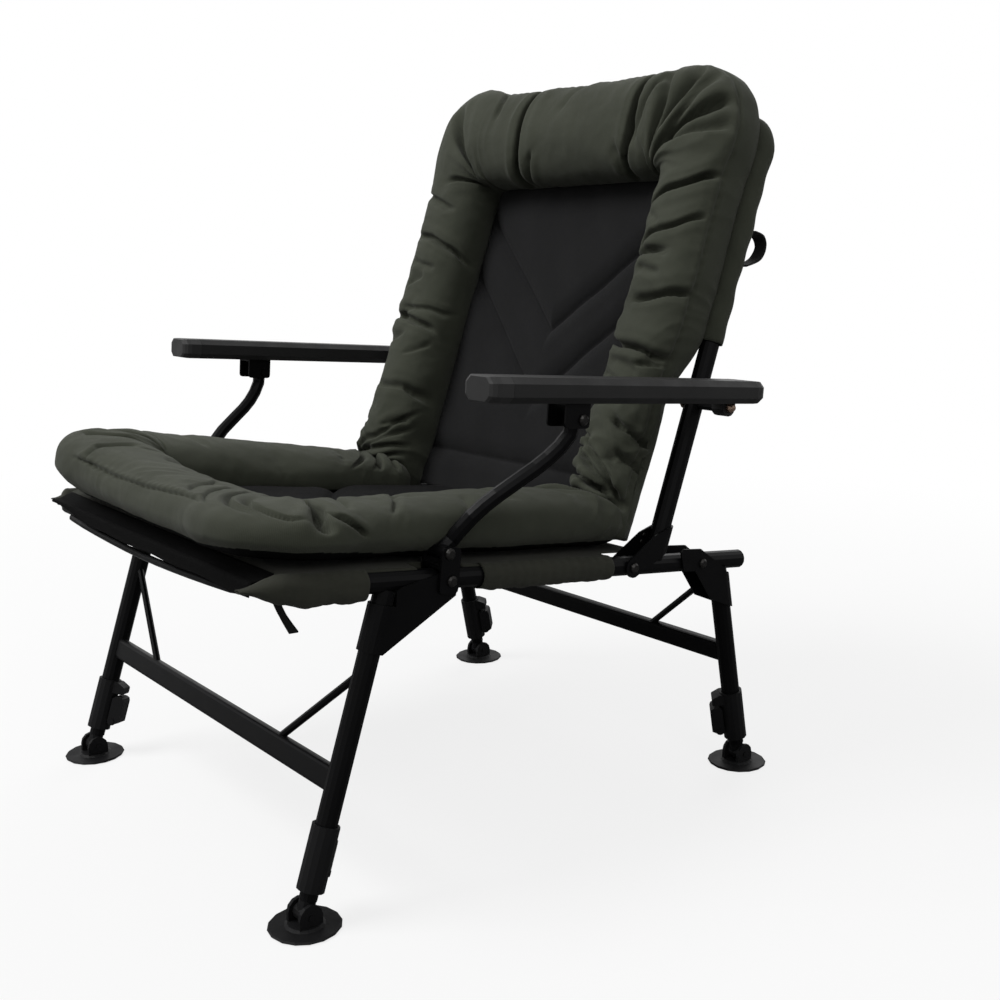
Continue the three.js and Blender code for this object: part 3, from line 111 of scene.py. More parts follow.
def apply_modifiers(obj):
    """Puts the evaluated mesh in place of the object's own."""
    depsgraph = bpy.context.evaluated_depsgraph_get()
    made = bpy.data.meshes.new_from_object(obj.evaluated_get(depsgraph), depsgraph=depsgraph)
    obj.modifiers.clear()
    old, obj.data = obj.data, made
    bpy.data.meshes.remove(old)


def coordinates(obj):
    out = np.zeros(len(obj.data.vertices) * 3)
    obj.data.vertices.foreach_get("co", out)
    return out.reshape(-1, 3)


def normals(obj):
    return np.array([v.normal for v in obj.data.vertices])


def set_coordinates(obj, points):
    obj.data.vertices.foreach_set("co", np.asarray(points, float).ravel())
    obj.data.update()


AIR_PRESSURE = 4.0
AIR_FRAMES = 12
CLOTH_STIFFNESS = 12
MOST_SWELL = 0.005


def puff(obj, pinned):
    """Cloth simulation with air inside: it swells between the pinned creases, up to a limit, and is applied."""
    group = obj.vertex_groups.new(name="pinned")
    for index in np.flatnonzero(pinned > 0):
        group.add([int(index)], float(pinned[index]), "REPLACE")
    before = coordinates(obj)
    cloth = obj.modifiers.new("cloth", "CLOTH").settings
    cloth.quality = 6
    cloth.mass = 0.25
    cloth.tension_stiffness = cloth.compression_stiffness = CLOTH_STIFFNESS
    cloth.shear_stiffness = CLOTH_STIFFNESS / 2
    cloth.bending_stiffness = 0.4
    cloth.use_pressure = True
    cloth.uniform_pressure_force = AIR_PRESSURE
    cloth.vertex_group_mass = "pinned"
    cloth.effector_weights.gravity = 0
    obj.modifiers["cloth"].point_cache.frame_end = AIR_FRAMES
    for number in range(1, AIR_FRAMES + 1):
        bpy.context.scene.frame_set(number)
    apply_modifiers(obj)
    bpy.context.scene.frame_set(1)
    after = coordinates(obj)
    move = after - before
    length = np.linalg.norm(move, axis=1, keepdims=True)
    set_coordinates(obj, before + move * np.minimum(1, MOST_SWELL / np.maximum(length, 1e-9)))
    obj.vertex_groups.clear()


def subdivide(obj):
    mod = obj.modifiers.new("subdivision", "SUBSURF")
    mod.levels = mod.render_levels = 1
    apply_modifiers(obj)
    obj.data.shade_smooth()


UNEVEN_HEIGHT = 0.0012
UNEVEN_SCALE = 0.05


def roughen(obj, seed):
    """Moves the surface along its normals by smooth noise."""
    points = coordinates(obj)
    offset = Vector((seed * 7.3, seed * 3.1, seed * 5.7))
    height = np.array([noise.fractal(Vector(p) / UNEVEN_SCALE + offset, 0.9, 2.0, 3) for p in points])
    set_coordinates(obj, points + normals(obj) * (height * UNEVEN_HEIGHT)[:, None])


# ---------------------------------------------------------------- stuffed rolls

SIDES = 72
STEP = 0.004
ROLL_GIRTH = 0.28  # of the cloth round a roll
INNER_FOOT, INNER_SHOULDER = 0.6, 0.9  # powers of the section's inner quarters: 1 is round, less is squarer
WIDE_DEPTH, WIDE_SPREAD = 0.5, 1.7  # a crease's wide dent, pressed in before the roll swells
SHARP_DEPTH, SHARP_SPREAD = 0.65, 0.8  # its sharp valley, pressed in afterwards
CORNER_FILL = 0.30  # how much wider the outer half grows at a bend's middle
FOOT_BAND = 0.006  # the lowest part of a section, which is held while the roll swells


def route(points, bend, spacing):
    """Even stations along a line with rounded corners: places, directions and distance from the start."""
    points = [np.array(p, float) for p in points]
    dense = [points[0]]
    for before, corner, after in zip(points, points[1:], points[2:]):
        a, b = corner - before, after - corner
        a, b = a / np.linalg.norm(a), b / np.linalg.norm(b)
        centre = corner - a * bend + b * bend
        for angle in np.linspace(0, math.pi / 2, 25):
            dense.append(centre - b * bend * math.cos(angle) + a * bend * math.sin(angle))
    dense.append(points[-1])
    dense = np.array(dense)
    run = np.r_[0, np.cumsum(np.linalg.norm(np.diff(dense, axis=0), axis=1))]
    count = int(round(run[-1] / spacing)) + 1
    at = np.linspace(0, run[-1], count)
    places = np.stack([np.interp(at, run, dense[:, k]) for k in (0, 1)], 1)
    ways = np.gradient(places, axis=0)
    return places, ways / np.linalg.norm(ways, axis=1, keepdims=True), at


def crease(run, angle, at, depth, width, low, high, slant=0.0):
    """One crease across a roll: a wandering valley, steeper on one side, with a low ridge on both sides."""
    middle = (low + high) / 2
    turn = (angle - middle + math.pi) % (2 * math.pi) - math.pi
    phase = at * 397.0
    wander = 0.0032 * np.sin(1.7 * turn + phase) + 0.0012 * np.sin(5.3 * turn + 2 * phase)
    off = run - at - slant * turn - wander
    half = (high - low) / 2
    window = 1 - smooth(0.5 * half, half, np.abs(turn))
    away = np.abs(off) / (width * (1 + 0.45 * math.cos(phase) * np.tanh(off / width)))
    valley = np.exp(-(away ** 1.25))
    ridge = np.exp(-(((away - 2.7) / 1.3) ** 2))
    return -depth * window * (valley - 0.27 * ridge)


def fan(hub, spread, hub_angle, far_angle, depths, width):
    """Creases that run together at one angle of the section and spread along the roll at another."""
    span = far_angle - hub_angle
    low, high = min(hub_angle, far_angle), max(hub_angle, far_angle)
    return [(hub + reach / 2, depth, width, low, high, reach / span) for reach, depth in zip(spread, depths)]


def wrinkles(run, angle, spots, seed):
    """Sharp little folds that run across a roll: ridged noise, stronger near the spots (place, spread, height)."""
    share = 0.0006 + sum(height * np.exp(-(((run - at) / spread) ** 2)) for at, spread, height in spots)
    field = np.empty(len(run))
    for k, (place, turn) in enumerate(zip(run.tolist(), angle.tolist())):
        wander = noise.noise(Vector((place * 9, seed * 3.7, math.cos(turn)))) * 1.6
        around = Vector((math.cos(turn) * 0.8, math.sin(turn) * 0.8, seed * 9.1 + place / 0.026 + wander))
        field[k] = 0.45 - abs(noise.noise(around)) * 2
    return field * share


def seam_line(run, angle, low, high, depth):
    """A sewn line along a roll, at an angle of the section that goes from low to high over the run."""
    at = np.interp(run, (low[0], high[0]), (low[1], high[1]))
    stitch = 1 + 0.30 * np.sin(run * 2 * np.pi / 0.013)
    off = ((angle - at + math.pi) % (2 * math.pi) - math.pi) * 0.045
    fold = np.exp(-((off / 0.0026) ** 2)) - 0.35 * np.exp(-(((off - 0.007) / 0.005) ** 2))
    window = smooth(low[0], low[0] + 0.03, run) * (1 - smooth(high[0] - 0.03, high[0], run))
    return -depth * stitch * fold * window


def roll_object(name, line, section, creases, where, turn, lie=False):
    """A stuffed roll: rings of a flat-footed section along a line, with wide dents at its creases, ends closed.

    The section's angle runs from the outer side (0) over the top (a quarter turn) to the inner side.
    A section gives, at each station, its width, height, base, share of the outer half, powers of the outer shoulder
    and foot, and that foot's lift. Returns the object and how firmly each point is held while it swells."""
    places, ways, run = line
    angle = 2 * math.pi * (np.arange(SIDES) + 0.5) / SIDES
    c, s = np.cos(angle)[None, :], np.sin(angle)[None, :]
    across = turn * np.stack([-ways[:, 1], ways[:, 0]], 1)
    corner = np.abs(2 * ways[:, 0] * ways[:, 1])
    width, height, base, outer, shoulder, foot, lift = section(run, places)
    power = np.where(
        s < 0,
        np.where(c > 0, foot[:, None], INNER_FOOT),
        np.where(c > 0, shoulder[:, None], INNER_SHOULDER),
    )
    side = np.where(c > 0, (outer * (1 + CORNER_FILL * corner))[:, None], 1)
    out = np.sign(c) * np.abs(c) ** power * side * width[:, None] / 2
    up = (np.sign(s) * np.abs(s) ** power + 1) * height[:, None] / 2
    reach = np.hypot(out, up - height[:, None] / 2)
    dent = sum(
        crease(run[:, None], angle[None, :], at, depth * WIDE_DEPTH, spread * WIDE_SPREAD, *rest)
        for at, depth, spread, *rest in creases
    )
    dent = np.maximum(dent, -0.012)
    pull = 1 + dent / np.maximum(reach, 1e-3)
    out, rise = out * pull, (up - height[:, None] / 2) * pull
    x = places[:, 0:1] + across[:, 0:1] * out
    y = places[:, 1:2] + across[:, 1:2] * out
    heel = 1.4 * np.clip(c, 0, 1) * np.sqrt(np.clip(-s, 0, 1))
    z = base + np.maximum(height[:, None] / 2 + rise, 0) + lift[:, None] * heel
    local = np.stack([x, -z, y], -1) if lie else np.stack([x, y, z], -1)
    points = placed(local, where)
    girth = ROLL_GIRTH * np.arange(SIDES) / SIDES
    uv = np.stack(np.broadcast_arrays(run[:, None], girth[None, :]), -1)
    obj = grid_object(name, points, closed_v=True, uv=uv, caps=True)
    for label, value in (("run", run[:, None]), ("turn_c", c), ("turn_s", s)):
        layer = obj.data.attributes.new(label, "FLOAT", "POINT")
        ends = (0.0, run[-1]) if label == "run" else (0.0, 0.0)
        layer.data.foreach_set("value", np.r_[np.broadcast_to(value, out.shape).ravel(), ends])
    hold = np.clip(-dent / 0.004, 0, 1) * 0.9
    hold = np.maximum(hold, np.where(up < FOOT_BAND, 1.0, 0.0))
    pinned = np.r_[hold.ravel(), 1, 1]
    if signed_volume(obj) < 0:
        obj.data.flip_normals()
    return obj, pinned


def attribute(obj, label):
    """A roll's stored value at each point."""
    out = np.zeros(len(obj.data.vertices))
    obj.data.attributes[label].data.foreach_get("value", out)
    return out


def fold(obj, creases, spots, seams, seed):
    """Presses the sharp part of the creases, small folds and sewn lines into a roll that has swollen."""
    run = attribute(obj, "run")
    angle = np.arctan2(attribute(obj, "turn_s"), attribute(obj, "turn_c")) % (2 * math.pi)
    dent = sum(
        crease(run, angle, at, depth * SHARP_DEPTH, spread * SHARP_SPREAD, *rest)
        for at, depth, spread, *rest in creases
    )
    dent = np.clip(dent, -0.014, 0.004) + wrinkles(run, angle, spots, seed)
    dent = dent + sum(seam_line(run, angle, *args) for args in seams)
    dent = dent * (1 - smooth(3.5, 4.2, angle) * (1 - smooth(5.6, 6.1, angle)))
    set_coordinates(obj, coordinates(obj) + normals(obj) * dent[:, None])
    for label in ("run", "turn_c", "turn_s"):
        obj.data.attributes.remove(obj.data.attributes[label])


def signed_volume(obj):
    """Below zero if the faces point inwards."""
    mesh = obj.data
    mesh.calc_loop_triangles()
    points = coordinates(obj)
    index = np.array([t.vertices for t in mesh.loop_triangles])
    a, b, c = points[index[:, 0]], points[index[:, 1]], points[index[:, 2]]
    return float(np.einsum("ij,ij->i", a, np.cross(b, c)).sum() / 6)


END_REACH = 0.05  # the length over which a roll grows to its full section
END_START = 0.4


def end_share(run):
    """Narrowing of a roll's two ends."""
    near = np.minimum(run, run[-1] - run)
    grown = np.minimum(1, END_START + near / END_REACH)
    return np.sqrt(1 - (1 - grown) ** 2)


SCATTER_FROM, SCATTER_TO = 0.2, 2.9  # angles of the section


def random_creases(length, count, seed, depth):
    """Small creases scattered along a roll."""
    pick = np.random.default_rng(seed)
    found = []
    for at in np.sort(pick.uniform(0.05, length - 0.05, count)):
        start = pick.uniform(SCATTER_FROM, SCATTER_TO - 0.5)
        found.append((at, pick.uniform(0.4, 1) * depth, pick.uniform(0.003, 0.007), start,
                      start + pick.uniform(0.5, 1.3), pick.uniform(-0.02, 0.02)))
    return found


BACK_HALF, BACK_TOP, BACK_BOTTOM, BACK_BEND = 0.222, 0.464, -0.030, 0.066  # the line inside the back's roll
SEAT_HALF, SEAT_FRONT, SEAT_REAR, SEAT_BEND = 0.210, -0.606, -0.186, 0.060  # and the seat's
BACK_FACE, DECK_TOP = 0.0013, 0.0136  # the heights at which the cushions begin
ROLL_SHOULDER = 0.74


def u_line(half, end, bend_at, bend):
    """A line up one side, across and back down the other."""
    return route([(-half, end), (-half, bend_at), (half, bend_at), (half, end)], bend, STEP)


def back_section(run, places):
    """The back roll's section: fuller over the head, thinner and lifted at the bottom, and wide at the far corner."""
    end = end_share(run)
    over = smooth(0.398, BACK_TOP, places[:, 1])
    low = smooth(-0.225, -0.125, -places[:, 1])
    under = smooth(-0.264, -BACK_BOTTOM, -places[:, 1])
    far = np.exp(-((places[:, 0] + BACK_HALF) ** 2 + (places[:, 1] - BACK_TOP) ** 2) / 0.055 ** 2)
    width = (0.098 + 0.024 * over) * end
    depth = (0.080 + 0.004 * over + 0.012 * under) * end
    outer = 1 - 0.20 * low + 0.30 * far
    shoulder = np.full(len(run), ROLL_SHOULDER)
    foot = 0.6 + 0.5 * low
    return width, depth, BACK_FACE, outer, shoulder, foot, 0.022 * low


# The seat roll's height along its run, from the far rear end to the near one, by share of the run
SEAT_HEIGHTS = [
    (0, 0.052), (0.17, 0.062), (0.28, 0.073), (0.34, 0.079), (0.40, 0.069), (0.46, 0.059),
    (0.53, 0.054), (0.67, 0.055), (0.74, 0.058), (0.84, 0.064), (1, 0.067),
]


def seat_section(run, places):
    """The seat roll's section: tall at the far front corner, pressed down towards the near one."""
    end = end_share(run)
    height = np.interp(run / run[-1], *zip(*SEAT_HEIGHTS))
    far = smooth(0.50, 0.58, -places[:, 1]) * smooth(0.12, 0.20, -places[:, 0])
    near = smooth(0.50, 0.58, -places[:, 1]) * smooth(0.12, 0.20, places[:, 0])
    drop = -0.0028 * (1 - smooth(0.014, 0.026, np.abs(places[:, 1] - SADDLE[0])))
    side = smooth(0.14, 0.20, places[:, 0])
    inward = smooth(0.14, 0.20, -places[:, 0])
    front = smooth(0.58, 0.60, -places[:, 1])
    outer = 1 - 0.09 * inward - 0.05 * far + 0.16 * near
    shoulder = ROLL_SHOULDER - 0.14 * front
    foot = 0.6 + 0.55 * front + 0.10 * far + 0.65 * side * (1 - front)
    return (0.112 + 0.012 * inward) * end, height * end, DECK_TOP, outer, shoulder, foot, drop


def stuffed_roll(name, line, section, creases, spots, seams, where, turn, seed, lie=False):
    """A roll that swells between its creases, then gets its sharp folds, its sewn line and an uneven skin."""
    roll, pinned = roll_object(name, line, section, creases, where, turn, lie)
    puff(roll, pinned)
    subdivide(roll)
    fold(roll, creases, spots, seams, seed)
    roughen(roll, seed)
    return roll


# In both lists a crease is its place along the roll, depth, width, first and last angle of the section, and slant.
# A spot is a place, its spread and the height of the small folds there. "corner" is the run to the middle of a bend.

BACK_LINE = u_line(BACK_HALF, BACK_BOTTOM, BACK_TOP, BACK_BEND)
length = BACK_LINE[2][-1]
corner = BACK_TOP - BACK_BOTTOM - BACK_BEND + 0.052
creases = [
    # two deep creases across the head roll, with a lesser one beside each
    (corner + 0.122, 0.026, 0.0042, 0.1, 3.6, -0.007),
    (corner + 0.146, 0.008, 0.0036, 2.0, 3.4, -0.016),
    (length - corner - 0.086, 0.022, 0.0040, 0.3, 3.5, -0.009),
    (length - corner - 0.060, 0.009, 0.0036, 0.7, 2.3, -0.018),
    (corner + 0.060, 0.006, 0.0040, 0.2, 1.5, 0.010),
    # the far inner corner
    (corner - 0.004, 0.024, 0.0044, 0.4, 3.7, -0.010),
    (corner - 0.040, 0.009, 0.0036, 1.5, 3.3, 0.012),
    # long slanting folds down the near roll, and fewer down the far one
    (length - 0.398, 0.016, 0.0030, 0.1, 3.1, 0.019),
    (length - 0.352, 0.012, 0.0028, 0.3, 2.5, 0.021),
    (length - 0.322, 0.010, 0.0028, 1.2, 3.3, 0.012),
    (length - 0.276, 0.013, 0.0030, 0.1, 2.0, 0.015),
    (length - 0.212, 0.018, 0.0032, 0.0, 3.3, -0.003),
    (length - 0.196, 0.008, 0.0026, 0.2, 1.4, 0.008),
    (0.128, 0.008, 0.0034, 0.8, 3.3, -0.006),
    (0.226, 0.012, 0.0036, 0.4, 2.9, -0.008),
    (0.247, 0.006, 0.0030, 1.2, 3.3, 0.004),
    (0.338, 0.011, 0.0034, 0.7, 3.4, -0.012),
    (0.405, 0.008, 0.0034, 0.3, 2.3, -0.014),
]
# the near inner corner
creases += fan(
    length - corner - 0.004, (-0.052, -0.026, -0.006, 0.018, 0.034), 3.3, 0.2,
    (0.012, 0.018, 0.012, 0.020, 0.012), 0.0034,
)
# where the back's rolls meet the seat: folds that run together at the outer foot
creases += fan(
    length - 0.034, (-0.012, -0.034, -0.050, -0.078, -0.098), 0.0, 3.2,
    (0.014, 0.018, 0.010, 0.016, 0.010), 0.0032,
)
creases += [
    (length - 0.118, 0.012, 0.0030, -0.2, 1.6, -0.010),
    (length - 0.086, 0.010, 0.0028, -0.2, 1.1, -0.016),
]
creases += fan(0.012, (0.014, 0.032, 0.050, 0.070, 0.096), 0.3, 3.2, (0.012, 0.012, 0.010, 0.008, 0.008), 0.0034)
# small ones down the far roll, down the near roll and across the head roll
creases += random_creases(corner - 0.06, 9, 3, 0.0065)
creases += [(length - at, *rest) for at, *rest in random_creases(corner - 0.06, 10, 8, 0.0065)]
creases += [(at + corner + 0.04, *rest) for at, *rest in random_creases(length - 2 * corner - 0.08, 3, 4, 0.004)]
spots = [
    (0.05, 0.05, 0.003), (length - 0.07, 0.06, 0.005), (corner, 0.05, 0.002), (length - corner, 0.06, 0.002),
    (length - 0.32, 0.08, 0.002),
]
seams = [((0.02, 0.22), (length - 0.02, 0.22), 0.0022)]
back_roll = stuffed_roll("back_roll", BACK_LINE, back_section, creases, spots, seams, BACK, 1, 1, lie=True)

SEAT_LINE = u_line(SEAT_HALF, SEAT_REAR, SEAT_FRONT, SEAT_BEND)
length = SEAT_LINE[2][-1]
corner = SEAT_REAR - SEAT_FRONT - SEAT_BEND + 0.047
creases = [
    # the pinch at the near front corner, and slanting folds that run into it
    (length - corner + 0.030, 0.028, 0.0029, 0.1, 2.0, 0.004),
    (length - corner + 0.044, 0.014, 0.0026, 0.0, 1.0, -0.022),
    (length - corner + 0.066, 0.007, 0.0030, 1.0, 2.5, 0.020),
    (length - corner - 0.004, 0.012, 0.0028, 0.5, 1.6, -0.040),
    (length - corner - 0.032, 0.011, 0.0028, 0.7, 2.0, -0.052),
    (length - corner - 0.066, 0.009, 0.0026, 0.8, 1.9, -0.060),
    (length - corner - 0.112, 0.007, 0.0026, 1.0, 2.0, -0.060),
    (length - corner + 0.116, 0.006, 0.0034, 0.6, 2.2, 0.030),
    # the far front corner
    (corner, 0.012, 0.0038, 1.2, 2.9, 0.0),
    (corner + 0.034, 0.009, 0.0034, 1.0, 2.7, 0.024),
    (corner - 0.030, 0.008, 0.0034, 0.9, 2.6, -0.02),
    (corner + 0.090, 0.006, 0.0032, 1.6, 2.9, 0.02),
]
# the two rear ends, under the back's rolls
creases += fan(0.010, (0.022, 0.046, 0.062, 0.096), 0.4, 2.9, (0.012, 0.014, 0.009, 0.010), 0.0034)
creases += fan(length - 0.010, (-0.020, -0.042, -0.064, -0.105), 0.4, 2.9, (0.012, 0.010, 0.014, 0.010), 0.0034)
creases += random_creases(length, 18, 5, 0.005)
spots = [
    (corner, 0.05, 0.0012), (length - corner + 0.02, 0.04, 0.0018), (0.05, 0.04, 0.0025),
    (length - 0.05, 0.04, 0.0025),
]
seams = [((corner + 0.04, 0.25), (length - corner - 0.03, 0.85), 0.0036)]
seat_roll = stuffed_roll("seat_roll", SEAT_LINE, seat_section, creases, spots, seams, DECK, -1, 2)

# ---------------------------------------------------------------- quilted middles

QUILT_HALF = 0.190
QUILT_SKIN = 0.0008
QUILT_FOOT, QUILT_LEAST = 0.0006, 0.003  # over the base: the quilt's outer edge, and its lowest place inside
GROOVE_WIDTH, GROOVE_DEPTH = 0.026, 0.0095


def groove(distance):
    """A sewn line: a narrow stitched valley in a wide soft dip."""
    wide = 1 - np.sin(np.pi / 2 * np.minimum(distance / GROOVE_WIDTH, 1))
    return GROOVE_DEPTH * (0.80 * wide + 0.20 * np.exp(-((distance / 0.003) ** 2)))


def quilt_object(name, low, high, base, thickness, border, seams, where, open_end, flare=0.0, lie=False):
    """A padded sheet with sewn lines, puckered along the stitches.

    It runs from low to high, wider by its flare at the low end. Over a border its rim curls down, but not at the
    open end, where the seat and the back meet."""
    share, y = np.meshgrid(np.linspace(-1, 1, 153), np.linspace(low, high, 181), indexing="ij")
    half = QUILT_HALF + flare * (1 - smooth(0.0, 0.06, y))
    x = share * half
    ends = {"low": high - y, "high": y - low}[open_end]
    edge = np.minimum(half - np.abs(x), ends)
    rim = 1 - np.sin(np.pi / 2 * np.minimum(edge / border, 1))
    z = base + thickness - thickness / 2 * rim
    for distance in seams:
        away = distance(x, y)
        pucker = 1 + 0.3 * np.sin((x + y) * 2 * np.pi / 0.011 + 2 * np.sin(y * 60))
        z = z - groove(away) - 0.0007 * pucker * np.exp(-((away / 0.006) ** 2))
    z = z + 0.0014 * np.sin(x * 31 + 1) * np.cos(y * 27) + 0.0006 * np.sin(x * 83 + y * 41)
    z = np.maximum(z, base + QUILT_LEAST)
    x, y, z = (np.pad(a, 1, mode="edge") for a in (x, y, z))
    z[0, :] = z[-1, :] = base + QUILT_FOOT
    z[:, 0] = z[:, -1] = base + QUILT_FOOT
    local = np.stack([x, -z, y], -1) if lie else np.stack([x, y, z], -1)
    obj = grid_object(name, placed(local, where), uv=np.stack([x, y], -1))
    thicken(obj, QUILT_SKIN)
    return obj


def thicken(obj, thickness=CLOTH_THICKNESS):
    mod = obj.modifiers.new("cloth", "SOLIDIFY")
    mod.thickness = thickness
    mod.offset = 0
    apply_modifiers(obj)
    obj.data.shade_smooth()


def v_seam(tip, slope):
    """How far a point is from a V of stitches."""
    return lambda x, y: np.abs(y - tip - np.abs(x) * slope) / math.hypot(1, slope)


def cross_seam(at):
    """How far a point is from a straight row of stitches."""
    return lambda x, y: np.abs(y - at)


back_quilt = quilt_object(
    "back_quilt", low=-0.0180, high=0.440, base=BACK_FACE, thickness=0.014, border=0.026,
    seams=[v_seam(0.214, 0.84), v_seam(0.121, 0.90), cross_seam(0.036)],
    where=BACK, open_end="low", flare=0.018, lie=True,
)
seat_quilt = quilt_object(
    "seat_quilt", low=-0.560, high=-0.130, base=DECK_TOP, thickness=0.019, border=0.070,
    seams=[v_seam(-0.420, 0.7)], where=DECK, open_end="high",
)

# ---------------------------------------------------------------- slings

SLEEVE_SIDES = 40
SLEEVE = 0.0124  # the radius of a tight sleeve
SHEET_FRONT = -0.641
OVER_RAIL, WAIST = 0.268, 0.2478  # half the sheet's width over the rails, and where it is drawn in between them
HEM_EASE = 0.006  # over which the sheet draws in beside a bracket
FRONT_SLEEVE = (-0.626, -0.536)
FRONT_SLACK = [
    (-0.662, 0), (-0.641, 0), (-0.626, 0.0010), (-0.609, 0.0052), (-0.596, 0.0074), (-0.579, 0.0046),
    (-0.560, 0.0052), (-0.536, 0.0036),
]
REAR_SLEEVE = (-0.3995, -0.218)
REAR_SLACK = [
    (-0.3995, 0), (-0.392, 0.0004), (-0.380, 0.0024), (-0.330, 0.0020), (-0.290, 0.0008), (-0.250, 0.0016),
    (-0.218, 0.0004),
]
NEAR_TIP, FAR_TIP = (0.036, 0.006), (0.014, 0.020)  # how far a front sleeve runs past the rail's end, and inwards


def sleeve(name, x, ends, slack_line, seed, tip=0.0, inward=0.0):
    """Cloth round a rail: close on top, and hanging below by a line of (place, slack).

    A tip runs out flat past the rail's end and leans inwards."""
    start, end = ends
    run = np.linspace(start - tip, end, max(16, int((end - start + tip) / 0.0025)))
    angle = 2 * math.pi * np.arange(SLEEVE_SIDES) / SLEEVE_SIDES
    low = np.clip(-np.sin(angle), 0, 1) ** 1.6
    loose = np.interp(run, *zip(*slack_line))
    bumps = 0.0011 * np.sin(run * 97 + seed) * np.sin(run * 41 + seed * 2)
    bumps = bumps + 0.0004 * np.sin(run * 260 + seed)
    loose = np.maximum(loose + bumps * np.clip(loose / 0.002, 0, 1), 0)
    pinch = 0.0007 * np.sin(run * 240 + seed)[:, None] * np.sin(angle * 3 + run[:, None] * 45)
    reach = SLEEVE + np.outer(loose, low) + np.abs(pinch)
    flat = smooth(start - tip, start + 0.004, run) if tip else np.ones_like(run)
    lean = math.copysign(inward, x) * (1 - flat)[:, None]
    px = x + reach * np.cos(angle)[None, :] * (0.35 + 0.65 * flat)[:, None] - lean
    pz = reach * np.sin(angle)[None, :] * (0.10 + 0.90 * flat)[:, None] - 0.002 * (1 - flat)[:, None]
    py = np.repeat(run[:, None], SLEEVE_SIDES, 1)
    uv = np.stack(np.broadcast_arrays(run[:, None], (angle * SLEEVE)[None, :]), -1)
    obj = grid_object(name, placed(np.stack([px, py, pz], -1), DECK), closed_v=True, uv=uv)
    thicken(obj)
    return obj


def join(name, objects):
    """Several objects as one piece."""
    with bpy.context.temp_override(active_object=objects[0], selected_editable_objects=objects):
        bpy.ops.object.join()
    objects[0].name = objects[0].data.name = name
    return objects[0]


def deck_cloth(name, half, ys, height):
    """Cloth on the deck: half its width is a function of the place along it, and its height of both places."""
    u, y = np.meshgrid(np.linspace(-1, 1, 121), ys, indexing="ij")
    x = u * half(y)
    local = np.stack([x, y, height(x, y)], -1)
    obj = grid_object(name, placed(local, DECK), uv=np.stack([x, y], -1))
    thicken(obj)
    return obj


def sheet_half(y):
    """Half the sheet's width: over the rails, drawn in beside the brackets and behind the rear sleeves."""
    beside = smooth(SADDLE[1], SADDLE[1] + HEM_EASE, np.abs(y - SADDLE[0]))
    behind = 1 - smooth(-0.222, -0.214, y)
    return WAIST + (OVER_RAIL - WAIST) * beside * behind


def sheet_height(x, y):
    """The sheet sags between the rails and bends down over the front rods."""
    front = smooth(-0.606, SHEET_FRONT, y)
    sag = 0.0015 * np.cos(np.clip(x / 0.25, -1, 1) * math.pi / 2) * (1 - front)
    over = np.maximum(np.abs(x) - RAIL_X + 0.003, 0)
    beside = 1 - smooth(SADDLE[1], SADDLE[1] + HEM_EASE, np.abs(y - SADDLE[0]))
    hem = 0.009 * beside * np.clip((np.abs(x) - WAIST + 0.003) / 0.003, 0, 1)
    return 0.0119 - sag - 0.0105 * front ** 1.5 - over ** 2 / 0.024 - hem


LIP_HALF = 0.250
LIP_DEPTH = 0.036
LIP_LINE = [(0, -0.622), (0.35, -0.640), (0.55, -0.6452), (1, -0.6458)]


def lip_place(u, v):
    """The black hem: it lies on the sheet's front edge (v = 0) and comes down in front of the upper rod (v = 1)."""
    x = u * LIP_HALF
    y = np.interp(v, *zip(*LIP_LINE))
    over = sheet_height(x, np.maximum(y, SHEET_FRONT)) + 0.0016
    depth = 0.003 + 0.0105 * smooth(-0.25, -0.10, x)
    drop = over - depth * smooth(0.45, 1, v) ** 0.8 + 0.0007 * np.sin(u * 13) * v
    return np.stack([x, y + 0 * x, drop], -1)


sleeves = []
for side in (1, -1):
    x = side * RAIL_X
    sleeves.append(sleeve("front_sleeve", x, FRONT_SLEEVE, FRONT_SLACK, 1, *(NEAR_TIP if side > 0 else FAR_TIP)))
    sleeves.append(sleeve("rear_sleeve", x, REAR_SLEEVE, REAR_SLACK, 2))
sheet = deck_cloth("sheet", sheet_half, np.linspace(SHEET_FRONT, -0.150, 150), sheet_height)
seat_cloth = join("seat_cloth", [sheet, *sleeves])
u, v = np.meshgrid(np.linspace(-1, 1, 90), np.linspace(0, 1, 21), indexing="ij")
seat_lip = grid_object("seat_lip", placed(lip_place(u, v), DECK), uv=np.stack([u * LIP_HALF, v * LIP_DEPTH], -1))
thicken(seat_lip)

HOOD_LOW, HOOD_TOP, HOOD_BEND = 0.215, 0.474, 0.034  # the stretch of the back's tube that the sling goes round
BACK_SHEET_LOW = 0.030
BACK_SHEET_HALF = [(BACK_SHEET_LOW, 0.216), (0.150, 0.218), (HOOD_LOW, 0.254), (HOOD_TOP, 0.254)]


def back_hood():
    """The sling's sleeve round the back's tube, up one side, over the head and down the other."""
    stops = [(RAIL_X, HOOD_LOW), (RAIL_X, HOOD_TOP), (-RAIL_X, HOOD_TOP), (-RAIL_X, HOOD_LOW)]
    line, ways, run = route(stops, HOOD_BEND, 0.005)
    angle = 2 * math.pi * np.arange(SLEEVE_SIDES) / SLEEVE_SIDES
    slack = 0.0006 * np.sin(run * 61)[:, None]
    slack = slack + 0.0007 * np.sin(run * 143 + 1)[:, None] * np.sin(angle * 2)[None, :]
    reach = SLEEVE + 0.0006 + slack
    out = reach * np.cos(angle)[None, :]
    local = np.stack(
        [line[:, 0:1] + ways[:, 1:2] * out, reach * np.sin(angle)[None, :], line[:, 1:2] - ways[:, 0:1] * out], -1
    )
    uv = np.stack(np.broadcast_arrays(run[:, None], (angle * SLEEVE)[None, :]), -1)
    obj = grid_object("back_hood", placed(local, BACK), closed_v=True, uv=uv)
    thicken(obj)
    return obj


